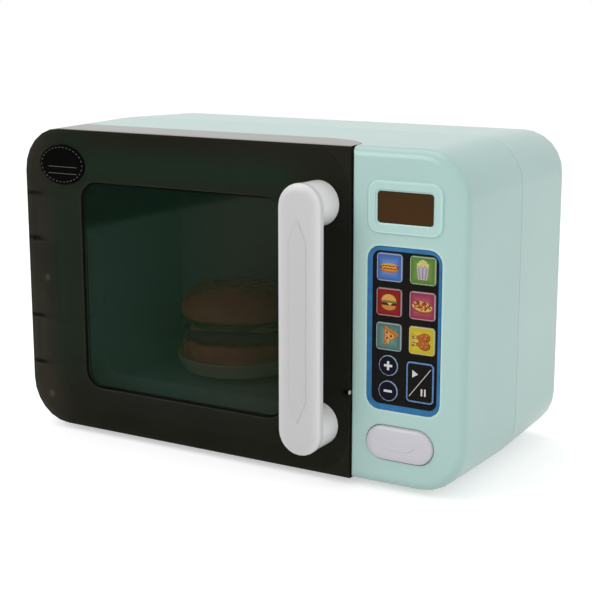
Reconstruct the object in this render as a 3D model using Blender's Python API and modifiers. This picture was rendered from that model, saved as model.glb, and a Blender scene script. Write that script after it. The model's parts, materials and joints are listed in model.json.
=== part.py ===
"""Toy microwave with a tinted door, a button panel and a turning plate with a play burger."""

import math

import bmesh
import bpy
from mathutils import Matrix, Vector

ASSEMBLY = "toy_microwave"

# Case. Lengths are in metres: X to the right, Y into the depth from the front plane,
# Z up from the front's bottom edge.
BODY_WIDTH = 0.3000
BODY_HEIGHT = 0.1873
FRONT_DEPTH = 0.0736
REAR_DEPTH = 0.0731
CORNER_RADIUS = 0.0271
REAR_CORNER_RADIUS = 0.0250
PARTING_RISE = 0.0016
REAR_SIDE_TAPER = 0.0026
REAR_TOP_TAPER = 0.0022
PANEL_FILLET = 0.0058
REAR_FILLET = 0.0041
WALL = 0.0024
SEAM_GAP = 0.0003
LIP_LENGTH = 0.0025
OVERRUN = 0.0040
MELD = 0.0006

# Fits between touching pieces.
SEAT = 0.0003
RUNNING_GAP = 0.0003
SLIDE_GAP = 0.0004
WELD = 0.00001
SHARP_ANGLE = 32
BEVEL_ANGLE = 40

# Steps of round shapes.
CORNER_STEPS = 6
SMALL_STEPS = 3
KEY_CORNER_STEPS = 2
PAD_STEPS = 4
BUTTON_STEPS = 5
FILLET_STEPS = 3
DOME_STEPS = 5
EDGE_STEPS = 2
ROUND_STEPS = 24
POST_STEPS = 24
PIN_STEPS = 14
SCREW_STEPS = 8
TUBE_STEPS = 10
FOOD_STEPS = 28
DISC_STEPS = 16
DOME_STEPS = 6
COIL_STEPS = 8

# Door, left of the panel.
PANEL_WIDTH = 0.0690
DOOR_DEPTH = 0.0271
DOOR_WALL = 0.0022
DOOR_SIDE_GAP = 0.0007
DOOR_BACK_GAP = 0.0004
DOOR_EDGE_ROUND = 0.0010
COVE_REACH = 0.0310
COVE_LEAD = 0.0085
PANEL_EDGE_ROUND = 0.0023
WINDOW_SIDE_INSET = 0.0430
WINDOW_LOW_INSET = 0.02675
WINDOW_TOP_INSET = 0.03105
WINDOW_RADIUS = 0.0120
WINDOW_STEP = 0.0018
WINDOW_SLOPE = 0.0013

# Door hinge.
HINGE_INSET = 0.0060
HINGE_Y = 0.0110
LOW_HINGE_INSET = 0.0505
HIGH_HINGE_INSET = 0.0578
HINGE_PITCH = 0.0310
EAR_THICK = 0.0020
EAR_REACH = 0.0045
PIN_RADIUS = 0.0013
KNUCKLE_RADIUS = 0.0030
ARM_THICK = 0.0035
ARM_FRONT = 0.0062
ARM_LAND = 0.0065
HINGE_CLEAR = 0.0007

# Handle.
HANDLE_INSET = 0.0198
HANDLE_LOW = 0.0165
HANDLE_TOP_INSET = 0.0189
HANDLE_HALF_WIDTH = 0.0133
HANDLE_REACH = 0.0235
HANDLE_THICK = 0.0056
HANDLE_DOME = 0.0026
HANDLE_FLANK = 0.0070
HANDLE_BACK_CHAMFER = 0.0003
POST_RADIUS = 0.0128
RELIEF_WIDTH = 0.0118
RELIEF_INSET = 0.01875
RELIEF_POINT = 0.0130
RELIEF_RISE = 0.0006
HANDLE_SCREW_RADIUS = 0.0014
HANDLE_SCREW_HEAD = 0.0030
HANDLE_SCREW_HEAD_THICK = 0.0018
HANDLE_SCREW_DEPTH = 0.0110
PAN_SHARE = 0.4
SLOT_SHARE = 0.6

# Badge on the door.
BADGE_SIDE_INSET = 0.0303
BADGE_TOP_INSET = 0.0219
BADGE_WIDTH = 0.0349
BADGE_HEIGHT = 0.0247
BADGE_THICK = 0.0008

# Cooking space and its liner.
MOUTH_LEFT_INSET = 0.0360
MOUTH_RIGHT_INSET = 0.0450
MOUTH_LOW = 0.0290
MOUTH_TOP_INSET = 0.0313
MOUTH_RADIUS = 0.0120
LINER_WALL = 0.0018
LINER_FLANGE = 0.0070
LINER_BACK = 0.1153
LINER_DRAFT = 0.0006

# Turntable.
PLATE_CLEARANCE = 0.0040
PLATE_FLARE = 0.0065
PLATE_BASE_Z = 0.0335
PLATE_RIM_Z = 0.0430
PLATE_THICK = 0.0018
COUPLER_RADIUS = 0.0100
COUPLER_THICK = 0.0022
COUPLER_HUB = 0.0050
DRIVE_SHAFT_RADIUS = 0.0025
MOTOR_WIDTH = 0.0380
MOTOR_DEPTH = 0.0280
MOTOR_HEIGHT = 0.0170
MOTOR_ROUND = 0.0015
DOG_RADIUS = 0.0013
DOG_CIRCLE = 0.0075
DOG_COUNT = 3

# Play burger.
BUN_MARGIN = 0.0030
BUN_BOTTOM_HEIGHT = 0.0185
BUN_LOW_ROUND = 0.0080
BUN_EDGE_ROUND = 0.0025
PATTY_MARGIN = 0.0008
PATTY_HEIGHT = 0.0074
PATTY_ROUND = 0.0026
CHEESE_SHARE = 1.5
CHEESE_THICK = 0.0016
CHEESE_ROUND = 0.0060
CHEESE_TURN = 24
LETTUCE_REACH = 0.0004
LETTUCE_THICK = 0.0016
LETTUCE_WAVE = 0.0009
LETTUCE_WAVES = 9
LETTUCE_STEPS = 6
BUN_TOP_HEIGHT = 0.0212
BUN_DOME_WIDTH = 0.0190
BUN_DOME_HEIGHT = 0.0125
BUN_DOME_CROWN = 0.0012

# Display on the panel.
DISPLAY_INSET = 0.0361
DISPLAY_SHARE = 0.8329
BEZEL_WIDTH = 0.0440
BEZEL_HEIGHT_SHARE = 0.1527
BEZEL_RADIUS = 0.0060
BEZEL_RISE = 0.0013
BEZEL_EDGE = 0.0010
GLASS_WIDTH = 0.0326
GLASS_HEIGHT_SHARE = 0.0886
GLASS_RADIUS = 0.0016
GLASS_SINK = 0.0009
GLASS_FLANGE = 0.0020
GLASS_FLANGE_THICK = 0.0012
MODULE_INSET = 0.0013
MODULE_DEPTH = 0.0075

# Keypad.
PAD_INSET = 0.0363
PAD_WIDTH = 0.0438
PAD_LOW_SHARE = 0.2349
PAD_HIGH_SHARE = 0.7186
PAD_RADIUS = 0.0072
PAD_RECESS = 0.0013
PAD_RISE = 0.0002
PAD_LEDGE = 0.0009
LEFT_KEY_OFFSET = 0.0086
RIGHT_KEY_OFFSET = 0.0112
KEY_ROW_SHARES = (0.8786, 0.6678, 0.4570)
KEY_WIDTH = 0.0152
KEY_HEIGHT_SHARE = 0.1678
KEY_RADIUS = 0.0016
KEY_RISE = 0.0005
KEY_FLANGE = 0.0006
KEY_FLANGE_THICK = 0.0009
KEY_TRAVEL = 0.0005
ROUND_KEY_RADIUS = 0.0059
ROUND_KEY_SHARE = 0.1302
PLUS_SHARE = 0.2793
MINUS_SHARE = 0.1214
PLAY_WIDTH = 0.0166
PLAY_OFFSET = 0.0106
PLAY_SHARE = 0.2009
PLAY_HEIGHT_SHARE = 0.2517
PLAY_RADIUS = 0.0022
DOME_RADIUS = 0.0030
DOME_TOP_SHARE = 0.7
DOME_HEIGHT = 0.0012
MAT_THICK = 0.0010
MAT_MARGIN = 0.0030

# Circuit board behind the panel.
BOARD_WIDTH = 0.0430
BOARD_THICK = 0.0016
BOARD_DROP = 0.0068
BOARD_TOP_INSET = 0.0123
CHIP_SIDE = 0.0120
BOSS_RADIUS = 0.0025
BOARD_BOSS_INSET = 0.0035

# Release button and latch.
BUTTON_INSET = 0.0376
BUTTON_SHARE = 0.1351
BUTTON_WIDTH = 0.0406
BUTTON_HEIGHT_SHARE = 0.1046
BUTTON_RISE = 0.0026
BUTTON_CROWN = 0.0021
BUTTON_ROLL = 0.0043
BUTTON_RELIEF_WIDTH = 0.0210
BUTTON_RELIEF_HEIGHT = 0.0066
BUTTON_RELIEF_POINT = 0.0040
BUTTON_RELIEF_RISE = 0.0004
BUTTON_FLANGE = 0.0014
BUTTON_FLANGE_THICK = 0.0015
STEM_WIDTH = 0.0060
STEM_HEIGHT = 0.0080
STEM_TIP = 0.0010
SPRING_SEAT_Y = 0.0160
SPRING_SEAT_THICK = 0.0022
SPRING_SEAT_HALF = 0.0130
SPRING_RADIUS = 0.0064
SPRING_WIRE = 0.0004
SPRING_TURNS = 5
LEVER_INSET = 0.0083
LEVER_Y = 0.0240
LEVER_HUB_RADIUS = 0.0040
LEVER_PIN_RADIUS = 0.0015
LEVER_ARM_THICK = 0.0034
LEVER_ARM_WIDTH = 0.0032
LEVER_DROP = 0.0038
LEVER_RISE = 0.0272
LATCH_RISE = 0.0250
NIB_CLEAR = 0.0006
NIB_REACH = 0.0018
NIB_LENGTH = 0.0030
NIB_Y = 0.0060
KEEPER_WIDTH = 0.0040
KEEPER_DEPTH = 0.0075
KEEPER_HEIGHT = 0.0085
KEEPER_WALL = 0.0014
BRACKET_THICK = 0.0026
BRACKET_FRONT = 0.0090

# Rear cover: battery bay, grille, switch and screws.
BAY_INSET = 0.0400
BAY_Z = 0.0530
CELL_RADIUS = 0.0071
CELL_LENGTH = 0.0495
CELL_TIP_RADIUS = 0.0027
CELL_TIP_LENGTH = 0.0012
CELL_COUNT = 3
CELL_PITCH = 0.0152
BAY_WALL = 0.0014
BAY_CLEAR = 0.0006
CONTACT_ROOM = 0.0045
CONTACT_TURNS = 2
BAY_FLANGE = 0.0030
BAY_FLANGE_THICK = 0.0014
CONTACT_THICK = 0.0008
LID_TAB = 0.0090
LID_CORNER = 0.0030
LID_WEB = 0.0009
LID_SCREW_HEAD = 0.0014
LID_SCREW_LENGTH = 0.0080
LID_GRIP = 0.0100
LID_GROOVE = 0.0010
LID_GROOVE_COUNT = 3
SPEAKER_INSET = 0.0370
SPEAKER_Z = 0.1250
SPEAKER_RADIUS = 0.0140
SPEAKER_DEPTH = 0.0070
SPEAKER_RING = 0.0016
MAGNET_RADIUS = 0.0070
MAGNET_DEPTH = 0.0035
BASKET_DEPTH = 0.0023
CONE_RADIUS = 0.0047
CONE_DEPTH = 0.0018
CONE_CAP = 0.0008
GRILLE_SLOT = 0.0020
GRILLE_PITCH = 0.0040
GRILLE_COUNT = 5
SWITCH_INSET = 0.0320
SWITCH_Z = 0.0950
SWITCH_TRAVEL = 0.0030
SWITCH_KNOB_RISE = 0.0008
SWITCH_KNOB_WIDTH = 0.0040
SWITCH_KNOB_HEIGHT = 0.0036
SWITCH_FLANGE = 0.0024
SWITCH_FLANGE_THICK = 0.0010
SWITCH_BODY_WIDTH = 0.0150
SWITCH_BODY_HEIGHT = 0.0070
SWITCH_BODY_DEPTH = 0.0060
LEFT_SCREW_INSET = 0.0160
RIGHT_SCREW_INSET = 0.0105
SCREW_LOW_Z = 0.0200
SCREW_TOP_INSET = 0.0203
SCREW_JOINT_Y = 0.0900
SCREW_TUBE_RADIUS = 0.0048
SCREW_TUBE_WALL = 0.0014
SCREW_HEAD_RADIUS = 0.0028
SCREW_HEAD_THICK = 0.0020
SCREW_SHANK_RADIUS = 0.0014
SCREW_SHANK_LENGTH = 0.0110
SCREW_POST_RADIUS = 0.0040

# Cavity lamp and feet.
LAMP_Y = 0.0950
LAMP_RADIUS = 0.0040
LAMP_LENGTH = 0.0090
LAMP_SHOW = 0.0018
LAMP_FLANGE = 0.0010
LAMP_DRAFT = 0.0002
FOOT_RADIUS = 0.0070
FOOT_DROP = 0.0040
FOOT_INSET = 0.0380
FOOT_FRONT_Y = 0.0420
FOOT_REAR_Y = 0.1300
FOOT_ROUND = 0.0010

# Values that follow from the ones above.
BODY_DEPTH = FRONT_DEPTH + REAR_DEPTH
HALF_WIDTH = BODY_WIDTH / 2
SHIFT_Y = (HANDLE_REACH + RELIEF_RISE - BODY_DEPTH - SWITCH_KNOB_RISE) / 2
DOOR_RIGHT = HALF_WIDTH - PANEL_WIDTH
DOOR_MIDDLE = (DOOR_RIGHT - HALF_WIDTH) / 2
ZONE_RIGHT = DOOR_RIGHT + DOOR_SIDE_GAP
ZONE_DEPTH = DOOR_DEPTH + DOOR_BACK_GAP
COVE_START = DOOR_RIGHT - COVE_REACH
COVE_RADIUS = COVE_REACH + COVE_LEAD
COVE_CENTRE_Y = ZONE_DEPTH - COVE_RADIUS
WINDOW_WIDTH = DOOR_RIGHT + HALF_WIDTH - 2 * WINDOW_SIDE_INSET
WINDOW_HEIGHT = BODY_HEIGHT - WINDOW_TOP_INSET - WINDOW_LOW_INSET
WINDOW_CENTRE = (DOOR_MIDDLE, WINDOW_LOW_INSET + WINDOW_HEIGHT / 2)
MOUTH_LEFT = MOUTH_LEFT_INSET - HALF_WIDTH
MOUTH_RIGHT = DOOR_RIGHT - MOUTH_RIGHT_INSET
MOUTH_WIDTH = MOUTH_RIGHT - MOUTH_LEFT
MOUTH_HEIGHT = BODY_HEIGHT - MOUTH_TOP_INSET - MOUTH_LOW
MOUTH_CENTRE = ((MOUTH_LEFT + MOUTH_RIGHT) / 2, MOUTH_LOW + MOUTH_HEIGHT / 2)
FRONT_WALL_BACK = ZONE_DEPTH + WALL
REAR_INSIDE = BODY_DEPTH - WALL
HINGE_X = HINGE_INSET - HALF_WIDTH
HINGE_HEIGHTS = (LOW_HINGE_INSET, BODY_HEIGHT - HIGH_HINGE_INSET)
ARM_REACH = MOUTH_LEFT - ARM_LAND - HINGE_X
HANDLE_X = DOOR_RIGHT - HANDLE_INSET
HANDLE_HIGH = BODY_HEIGHT - HANDLE_TOP_INSET
HANDLE_MIDDLE = (HANDLE_LOW + HANDLE_HIGH) / 2
BADGE_X = BADGE_SIDE_INSET - HALF_WIDTH
BADGE_Z = BODY_HEIGHT - BADGE_TOP_INSET
TABLE_X = MOUTH_CENTRE[0]
TABLE_Y = (ZONE_DEPTH + LINER_BACK - LINER_WALL) / 2
PLATE_RADIUS = LINER_BACK - LINER_WALL - TABLE_Y - PLATE_CLEARANCE
PLATE_BASE_RADIUS = PLATE_RADIUS - PLATE_FLARE
BUN_RADIUS = PLATE_RADIUS - BUN_MARGIN
PATTY_RADIUS = BUN_RADIUS - PATTY_MARGIN
CHEESE_SIDE = BUN_RADIUS * CHEESE_SHARE
LETTUCE_RADIUS = BUN_RADIUS + LETTUCE_REACH
DISPLAY_X = HALF_WIDTH - DISPLAY_INSET
DISPLAY_Z = BODY_HEIGHT * DISPLAY_SHARE
BEZEL_HEIGHT = BODY_HEIGHT * BEZEL_HEIGHT_SHARE
GLASS_HEIGHT = BODY_HEIGHT * GLASS_HEIGHT_SHARE
MODULE_WIDTH = GLASS_WIDTH - 2 * MODULE_INSET
MODULE_HEIGHT = GLASS_HEIGHT - 2 * MODULE_INSET
PAD_X = HALF_WIDTH - PAD_INSET
PAD_LOW = BODY_HEIGHT * PAD_LOW_SHARE
PAD_HIGH = BODY_HEIGHT * PAD_HIGH_SHARE
PAD_HEIGHT = PAD_HIGH - PAD_LOW
PAD_Z = (PAD_LOW + PAD_HIGH) / 2
PAD_BACK = PAD_RECESS - SEAT
LEFT_KEY_X = PAD_X - LEFT_KEY_OFFSET
RIGHT_KEY_X = PAD_X + RIGHT_KEY_OFFSET
KEY_FLANGE_FRONT = PAD_BACK + SEAT
KEY_BACK = KEY_FLANGE_FRONT + KEY_FLANGE_THICK
DOME_FRONT = KEY_BACK + KEY_TRAVEL + SEAT
MAT_FRONT = DOME_FRONT + DOME_HEIGHT
BOARD_FRONT = MAT_FRONT + MAT_THICK + SEAT
BOARD_LOW = PAD_LOW - BOARD_DROP
BOARD_HIGH = BODY_HEIGHT - BOARD_TOP_INSET
BUTTON_X = HALF_WIDTH - BUTTON_INSET
BUTTON_Z = BODY_HEIGHT * BUTTON_SHARE
BUTTON_HEIGHT = BODY_HEIGHT * BUTTON_HEIGHT_SHARE
LEVER_X = ZONE_RIGHT + LEVER_INSET
LEVER_LOW = BUTTON_Z - LEVER_DROP
LEVER_HIGH = BUTTON_Z + LEVER_RISE
LATCH_Z = BUTTON_Z + LATCH_RISE
BAY_X = HALF_WIDTH - BAY_INSET
BAY_WIDTH = CELL_LENGTH + 2 * CONTACT_ROOM
BAY_HEIGHT = CELL_COUNT * CELL_PITCH + BAY_CLEAR
LID_SCREW_SPOT = (BAY_X, BAY_Z + BAY_HEIGHT / 2 + LID_TAB / 2)
SPEAKER_X = HALF_WIDTH - SPEAKER_INSET
SWITCH_X = HALF_WIDTH - SWITCH_INSET
SCREW_HIGH_Z = BODY_HEIGHT - SCREW_TOP_INSET
FOOT_X = HALF_WIDTH - FOOT_INSET


def clear_scene():
    """Empties the file so that the model is all it holds."""
    for item in list(bpy.data.objects):
        bpy.data.objects.remove(item, do_unlink=True)
    for group in list(bpy.data.collections):
        bpy.data.collections.remove(group)


def new_collection(name):
    group = bpy.data.collections.new(name)
    bpy.context.scene.collection.children.link(group)
    return group


def new_empty(name, place, parent=None):
    """An empty marks a body's joint axis. Its place is in the case's own frame."""
    empty = bpy.data.objects.new(name, None)
    empty.empty_display_size = KNUCKLE_RADIUS
    parts.objects.link(empty)
    empty["place"] = place
    empty.location = Vector(place)
    if parent is not None:
        empty.parent = parent
        empty.location = Vector(place) - Vector(parent["place"])
    return empty


def paint(name, colour, roughness, metallic=0.0, alpha=1.0):
    """A Principled material, made once for each name."""
    found = bpy.data.materials.get(name)
    if found:
        return found
    made = bpy.data.materials.new(name)
    made.use_nodes = True
    shader = made.node_tree.nodes["Principled BSDF"]
    shader.inputs["Base Color"].default_value = (*colour, 1.0)
    shader.inputs["Roughness"].default_value = roughness
    shader.inputs["Metallic"].default_value = metallic
    shader.inputs["Alpha"].default_value = alpha
    made.diffuse_color = (*colour, alpha)
    return made


def mint_plastic():
    return paint("mint_plastic", (0.39, 0.58, 0.53), 0.28)


def white_plastic():
    return paint("white_plastic", (0.72, 0.70, 0.72), 0.32)


def tinted_plastic():
    return paint("tinted_plastic", (0.05, 0.045, 0.04), 0.12, alpha=0.82)


def black_plastic():
    return paint("black_plastic", (0.02, 0.02, 0.02), 0.4)


def steel():
    return paint("steel", (0.6, 0.6, 0.6), 0.3, 1.0)


def new_object(name, mesh):
    """Objects start as scratch pieces in the cutter collection until they are placed."""
    item = bpy.data.objects.new(name, mesh)
    cutters.objects.link(item)
    item.hide_render = True
    item.display_type = "WIRE"
    return item


def mesh_from(name, builder):
    """Runs a bmesh builder and returns its mesh as an object."""
    work = bmesh.new()
    builder(work)
    mesh = bpy.data.meshes.new(name)
    work.to_mesh(mesh)
    work.free()
    return new_object(name, mesh)


def box(name, low, high):
    """A block between two corners."""
    size = [b - a for a, b in zip(low, high)]
    middle = [(a + b) / 2 for a, b in zip(low, high)]
    move = Matrix.Translation(middle) @ Matrix.Diagonal((*size, 1.0))
    return mesh_from(name, lambda work: bmesh.ops.create_cube(work, size=1.0, matrix=move))


def turn_to(axis):
    """The rotation that carries +Z onto a named axis."""
    turns = {
        "X": Matrix.Rotation(math.radians(90), 4, "Y"),
        "Y": Matrix.Rotation(math.radians(-90), 4, "X"),
        "Z": Matrix.Identity(4),
    }
    return turns[axis]


def rod(name, radius, start, length, axis, steps=PIN_STEPS, end_radius=None):
    """A round bar from a start point along an axis."""
    far = radius if end_radius is None else end_radius
    move = Matrix.Translation(start) @ turn_to(axis) @ Matrix.Translation((0, 0, length / 2))
    return mesh_from(
        name,
        lambda work: bmesh.ops.create_cone(
            work, cap_ends=True, segments=steps, radius1=radius, radius2=far, depth=length, matrix=move
        ),
    )


def settle(item):
    """Swaps an object's curve or modifiers for the mesh that they make, with its caps welded."""
    bpy.context.view_layer.update()
    graph = bpy.context.evaluated_depsgraph_get()
    mesh = bpy.data.meshes.new_from_object(item.evaluated_get(graph))
    work = bmesh.new()
    work.from_mesh(mesh)
    bmesh.ops.remove_doubles(work, verts=work.verts, dist=WELD)
    work.to_mesh(mesh)
    work.free()
    fresh = new_object(item.name + "_mesh", mesh)
    fresh.matrix_world = item.matrix_world
    name = item.name
    bpy.data.objects.remove(item, do_unlink=True)
    fresh.name = name
    return fresh


def plate(name, outlines, low, high, axis):
    """A flat outline given thickness between two levels. Outlines after the first are holes."""
    curve = bpy.data.curves.new(name, "CURVE")
    curve.dimensions = "2D"
    curve.fill_mode = "BOTH"
    curve.extrude = (high - low) / 2
    for outline in outlines:
        spline = curve.splines.new("POLY")
        spline.points.add(len(outline) - 1)
        for point, (across, up) in zip(spline.points, outline):
            point.co = (across, up, 0, 1)
        spline.use_cyclic_u = True
    item = settle(new_object(name, curve))
    item.data.transform(Matrix.Translation((0, 0, (low + high) / 2)))
    if axis == "Y":
        item.data.transform(Matrix.Rotation(math.radians(90), 4, "X"))
    if axis == "X":
        item.data.transform(Matrix(((0, 0, 1, 0), (1, 0, 0, 0), (0, 1, 0, 0), (0, 0, 0, 1))))
    return item


def front_plate(name, outlines, near, far):
    """An outline seen from the front, X across and Z up, between two depths."""
    return plate(name, outlines, -far, -near, "Y")


def plan_plate(name, outlines, low, high):
    """An outline seen from above, X across and Y up the page, between two heights."""
    return plate(name, outlines, low, high, "Z")


def arc(centre, radius, start, end, steps):
    """Points along an arc, in degrees."""
    return [
        (
            centre[0] + radius * math.cos(math.radians(start + (end - start) * k / steps)),
            centre[1] + radius * math.sin(math.radians(start + (end - start) * k / steps)),
        )
        for k in range(steps + 1)
    ]


def rounded(centre, width, height, radius, steps=SMALL_STEPS):
    """A rectangle with round corners: a stadium or a circle when the corners meet."""
    radius = min(radius, width / 2, height / 2)
    across = width / 2 - radius
    up = height / 2 - radius
    points = []
    for side, rise, start in ((1, 1, 0), (-1, 1, 90), (-1, -1, 180), (1, -1, 270)):
        corner = (centre[0] + side * across, centre[1] + rise * up)
        points += arc(corner, radius, start, start + 90, steps)
    spaced = []
    for point, before in zip(points, points[-1:] + points[:-1]):
        if math.dist(point, before) > WELD:
            spaced.append(point)
    return spaced


def ellipse(centre, width, height, steps=ROUND_STEPS):
    """Points of an upright oval."""
    turn = 2 * math.pi / steps
    return [
        (centre[0] + width / 2 * math.cos(k * turn), centre[1] + height / 2 * math.sin(k * turn))
        for k in range(steps)
    ]


def loft(name, rings):
    """Joins front-view rings of equal point count. Each ring is its points and its depth."""

    def build(work):
        loops = [[work.verts.new((x, depth, z)) for x, z in points] for points, depth in rings]
        for near, far in zip(loops, loops[1:]):
            for k in range(len(near)):
                after = (k + 1) % len(near)
                work.faces.new((near[k], far[k], far[after], near[after]))
        work.faces.new(loops[0])
        work.faces.new(list(reversed(loops[-1])))
        bmesh.ops.recalc_face_normals(work, faces=work.faces)

    return mesh_from(name, build)


def turned(name, profile, place, axis, steps=ROUND_STEPS):
    """A profile of radius and height turned about an axis through a place."""
    closed = profile[0][0] > 0 and profile[-1][0] > 0
    mesh = bpy.data.meshes.new(name)
    edges = [(k, k + 1) for k in range(len(profile) - 1)]
    if closed:
        edges.append((len(profile) - 1, 0))
    mesh.from_pydata([(radius, 0, height) for radius, height in profile], edges, [])
    item = new_object(name, mesh)
    screw = item.modifiers.new("Turn", "SCREW")
    screw.axis = "Z"
    screw.steps = steps
    screw.render_steps = steps
    screw.use_merge_vertices = True
    screw.merge_threshold = WELD
    screw.use_normal_calculate = False
    item = settle(item)
    item.data.transform(Matrix.Translation(place) @ turn_to(axis))
    return item


def cut(item, cutter):
    """Take one body out of another."""
    change = item.modifiers.new("Cut", "BOOLEAN")
    change.operation = "DIFFERENCE"
    change.solver = "EXACT"
    change.object = cutter
    return item


def join(item, piece):
    """Make two bodies one."""
    change = item.modifiers.new("Join", "BOOLEAN")
    change.operation = "UNION"
    change.solver = "EXACT"
    change.object = piece
    return item


def soften(item, width, segments=2, angle=BEVEL_ANGLE):
    """Bevel a body's sharp edges."""
    change = item.modifiers.new("Soften", "BEVEL")
    change.width = width
    change.segments = segments
    change.limit_method = "ANGLE"
    change.angle_limit = math.radians(angle)
    return item


def place_part(item, material, parent, origin=None):
    """Settles a finished piece, moves its origin to its axis and hands it to its body."""
    name = item.name
    if item.modifiers:
        item = settle(item)
    item.name = name
    item.data.name = name
    cutters.objects.unlink(item)
    parts.objects.link(item)
    item.hide_render = False
    item.display_type = "TEXTURED"
    pivot = Vector(origin) if origin is not None else Vector(parent["place"])
    item.data.transform(Matrix.Translation(-pivot))
    item.parent = parent
    item.location = pivot - Vector(parent["place"])
    item.data.materials.clear()
    item.data.materials.append(material)
    item.data.shade_smooth()
    item.data.set_sharp_from_angle(angle=math.radians(SHARP_ANGLE))
    return item


def case_section(depth, inset):
    """The case's outline at a depth, drawn in by an inset."""
    if depth <= FRONT_DEPTH:
        share = depth / FRONT_DEPTH
        half = HALF_WIDTH
        rise = PARTING_RISE * share
        radius = CORNER_RADIUS
    else:
        share = (depth - FRONT_DEPTH) / REAR_DEPTH
        half = HALF_WIDTH - REAR_SIDE_TAPER * share
        rise = PARTING_RISE - REAR_TOP_TAPER * share
        radius = CORNER_RADIUS + (REAR_CORNER_RADIUS - CORNER_RADIUS) * share
    width = 2 * (half - inset)
    height = BODY_HEIGHT + 2 * (rise - inset)
    return rounded((0, BODY_HEIGHT / 2), width, height, radius - inset, CORNER_STEPS)


def quarter(steps):
    """Pairs that walk a quarter round from its side to its face."""
    for k in range(steps + 1):
        angle = math.pi / 2 * k / steps
        yield 1 - math.sin(angle), 1 - math.cos(angle)


def front_rings(offset, end):
    """Rings of the front half, with its filleted front edge, drawn in by an offset."""
    fillet = PANEL_FILLET - offset
    rings = []
    for inward, deeper in quarter(FILLET_STEPS):
        depth = offset + fillet * deeper
        rings.append((case_section(depth, offset + fillet * inward), depth))
    rings.append((case_section(end, offset), end))
    return rings


def rear_rings(offset, start):
    """Rings of the rear half, from a start depth to its filleted back edge."""
    fillet = max(REAR_FILLET - offset, WELD)
    rings = [(case_section(start, offset), start)]
    end = BODY_DEPTH - offset
    for inward, deeper in reversed(list(quarter(FILLET_STEPS))):
        depth = end - fillet * deeper
        rings.append((case_section(depth, offset + fillet * inward), depth))
    return rings


def zone_outline(offset):
    """Plan of the space that the door takes, with the cove that leads to the panel."""
    left = -HALF_WIDTH - OVERRUN
    right = ZONE_RIGHT + offset
    radius = COVE_RADIUS + offset
    end_angle = math.degrees(math.acos((right - COVE_START) / radius))
    cove = arc((COVE_START, COVE_CENTRE_Y), radius, 90, end_angle, CORNER_STEPS)
    points = [(left, -OVERRUN), (left, ZONE_DEPTH + offset)]
    points += cove
    if offset > 0:
        points += [(right, -OVERRUN)]
    else:
        edge = PANEL_EDGE_ROUND
        points += arc((right + edge, edge), edge, 180, 270, SMALL_STEPS)
        points += [(right + edge, -OVERRUN)]
    return points


def lip_ring(name, inner_inset, outer_inset, start, end):
    """A frame that follows the case's outline."""
    outer = loft(name, [(case_section(start, outer_inset), start), (case_section(end, outer_inset), end)])
    hole = loft(
        name + "_hole",
        [
            (case_section(start - OVERRUN, inner_inset), start - OVERRUN),
            (case_section(end + OVERRUN, inner_inset), end + OVERRUN),
        ],
    )
    return cut(outer, hole)


def screw_spots():
    """Where the four rear screws stand, as X and Z."""
    for x in (LEFT_SCREW_INSET - HALF_WIDTH, HALF_WIDTH - RIGHT_SCREW_INSET):
        for z in (SCREW_LOW_Z, SCREW_HIGH_Z):
            yield x, z


def pad_height_at(share):
    """Height of a place on the keypad, as a share from its lower edge."""
    return PAD_LOW + PAD_HEIGHT * share


def key_shapes():
    """Every key: its name, its place, its size and its corner. Heights are shares of the keypad."""
    names = (
        ("key_hot_dog", "key_popcorn"),
        ("key_burger", "key_pie"),
        ("key_pizza", "key_chicken"),
    )
    size = (KEY_WIDTH, PAD_HEIGHT * KEY_HEIGHT_SHARE)
    for share, pair in zip(KEY_ROW_SHARES, names):
        for column, name in zip((LEFT_KEY_X, RIGHT_KEY_X), pair):
            yield name, (column, pad_height_at(share)), size, KEY_RADIUS
    size = (2 * ROUND_KEY_RADIUS, PAD_HEIGHT * ROUND_KEY_SHARE)
    for name, share in (("key_plus", PLUS_SHARE), ("key_minus", MINUS_SHARE)):
        yield name, (LEFT_KEY_X, pad_height_at(share)), size, ROUND_KEY_RADIUS
    size = (PLAY_WIDTH, PAD_HEIGHT * PLAY_HEIGHT_SHARE)
    yield "key_play_pause", (PAD_X + PLAY_OFFSET, pad_height_at(PLAY_SHARE)), size, PLAY_RADIUS


def key_outline(place, size, radius, margin):
    """A key's outline, grown by a margin."""
    round_key = radius * 2 >= size[0] - WELD
    steps = SMALL_STEPS if round_key else KEY_CORNER_STEPS
    return rounded(place, size[0] + 2 * margin, size[1] + 2 * margin, radius + margin, steps)


def hinge_ears():
    """Heights of the door's ears: two to each hinge."""
    for height in HINGE_HEIGHTS:
        for side in (-1, 1):
            yield height + side * HINGE_PITCH / 2


def arm_outline():
    """Plan of a bent arm that carries a knuckle clear of the door's side wall."""
    inner = ARM_FRONT - ARM_THICK
    reach = ARM_REACH
    root = FRONT_WALL_BACK - HINGE_Y - MELD
    corner = ARM_THICK
    points = [(-KNUCKLE_RADIUS, 0), (-KNUCKLE_RADIUS, -ARM_FRONT)]
    points += arc((reach - corner, -ARM_FRONT + corner), corner, -90, 0, SMALL_STEPS)
    points += [(reach, root), (reach - ARM_THICK, root)]
    points += [(reach - ARM_THICK, -inner), (KNUCKLE_RADIUS, -inner), (KNUCKLE_RADIUS, 0)]
    return [(HINGE_X + x, HINGE_Y + y) for x, y in points]


def hinge_arm(index, height):
    """An arm on the case with the knuckle that a hinge pin turns in."""
    half = (HINGE_PITCH - EAR_THICK) / 2 - HINGE_CLEAR
    arm = plan_plate(f"arm_{index}", [arm_outline()], height - half, height + half)
    join(arm, rod(f"knuckle_{index}", KNUCKLE_RADIUS, (HINGE_X, HINGE_Y, height - half), 2 * half, "Z"))
    bore = PIN_RADIUS + RUNNING_GAP
    start = (HINGE_X, HINGE_Y, height - half - OVERRUN)
    return cut(arm, rod(f"knuckle_bore_{index}", bore, start, 2 * (half + OVERRUN), "Z"))


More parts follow.
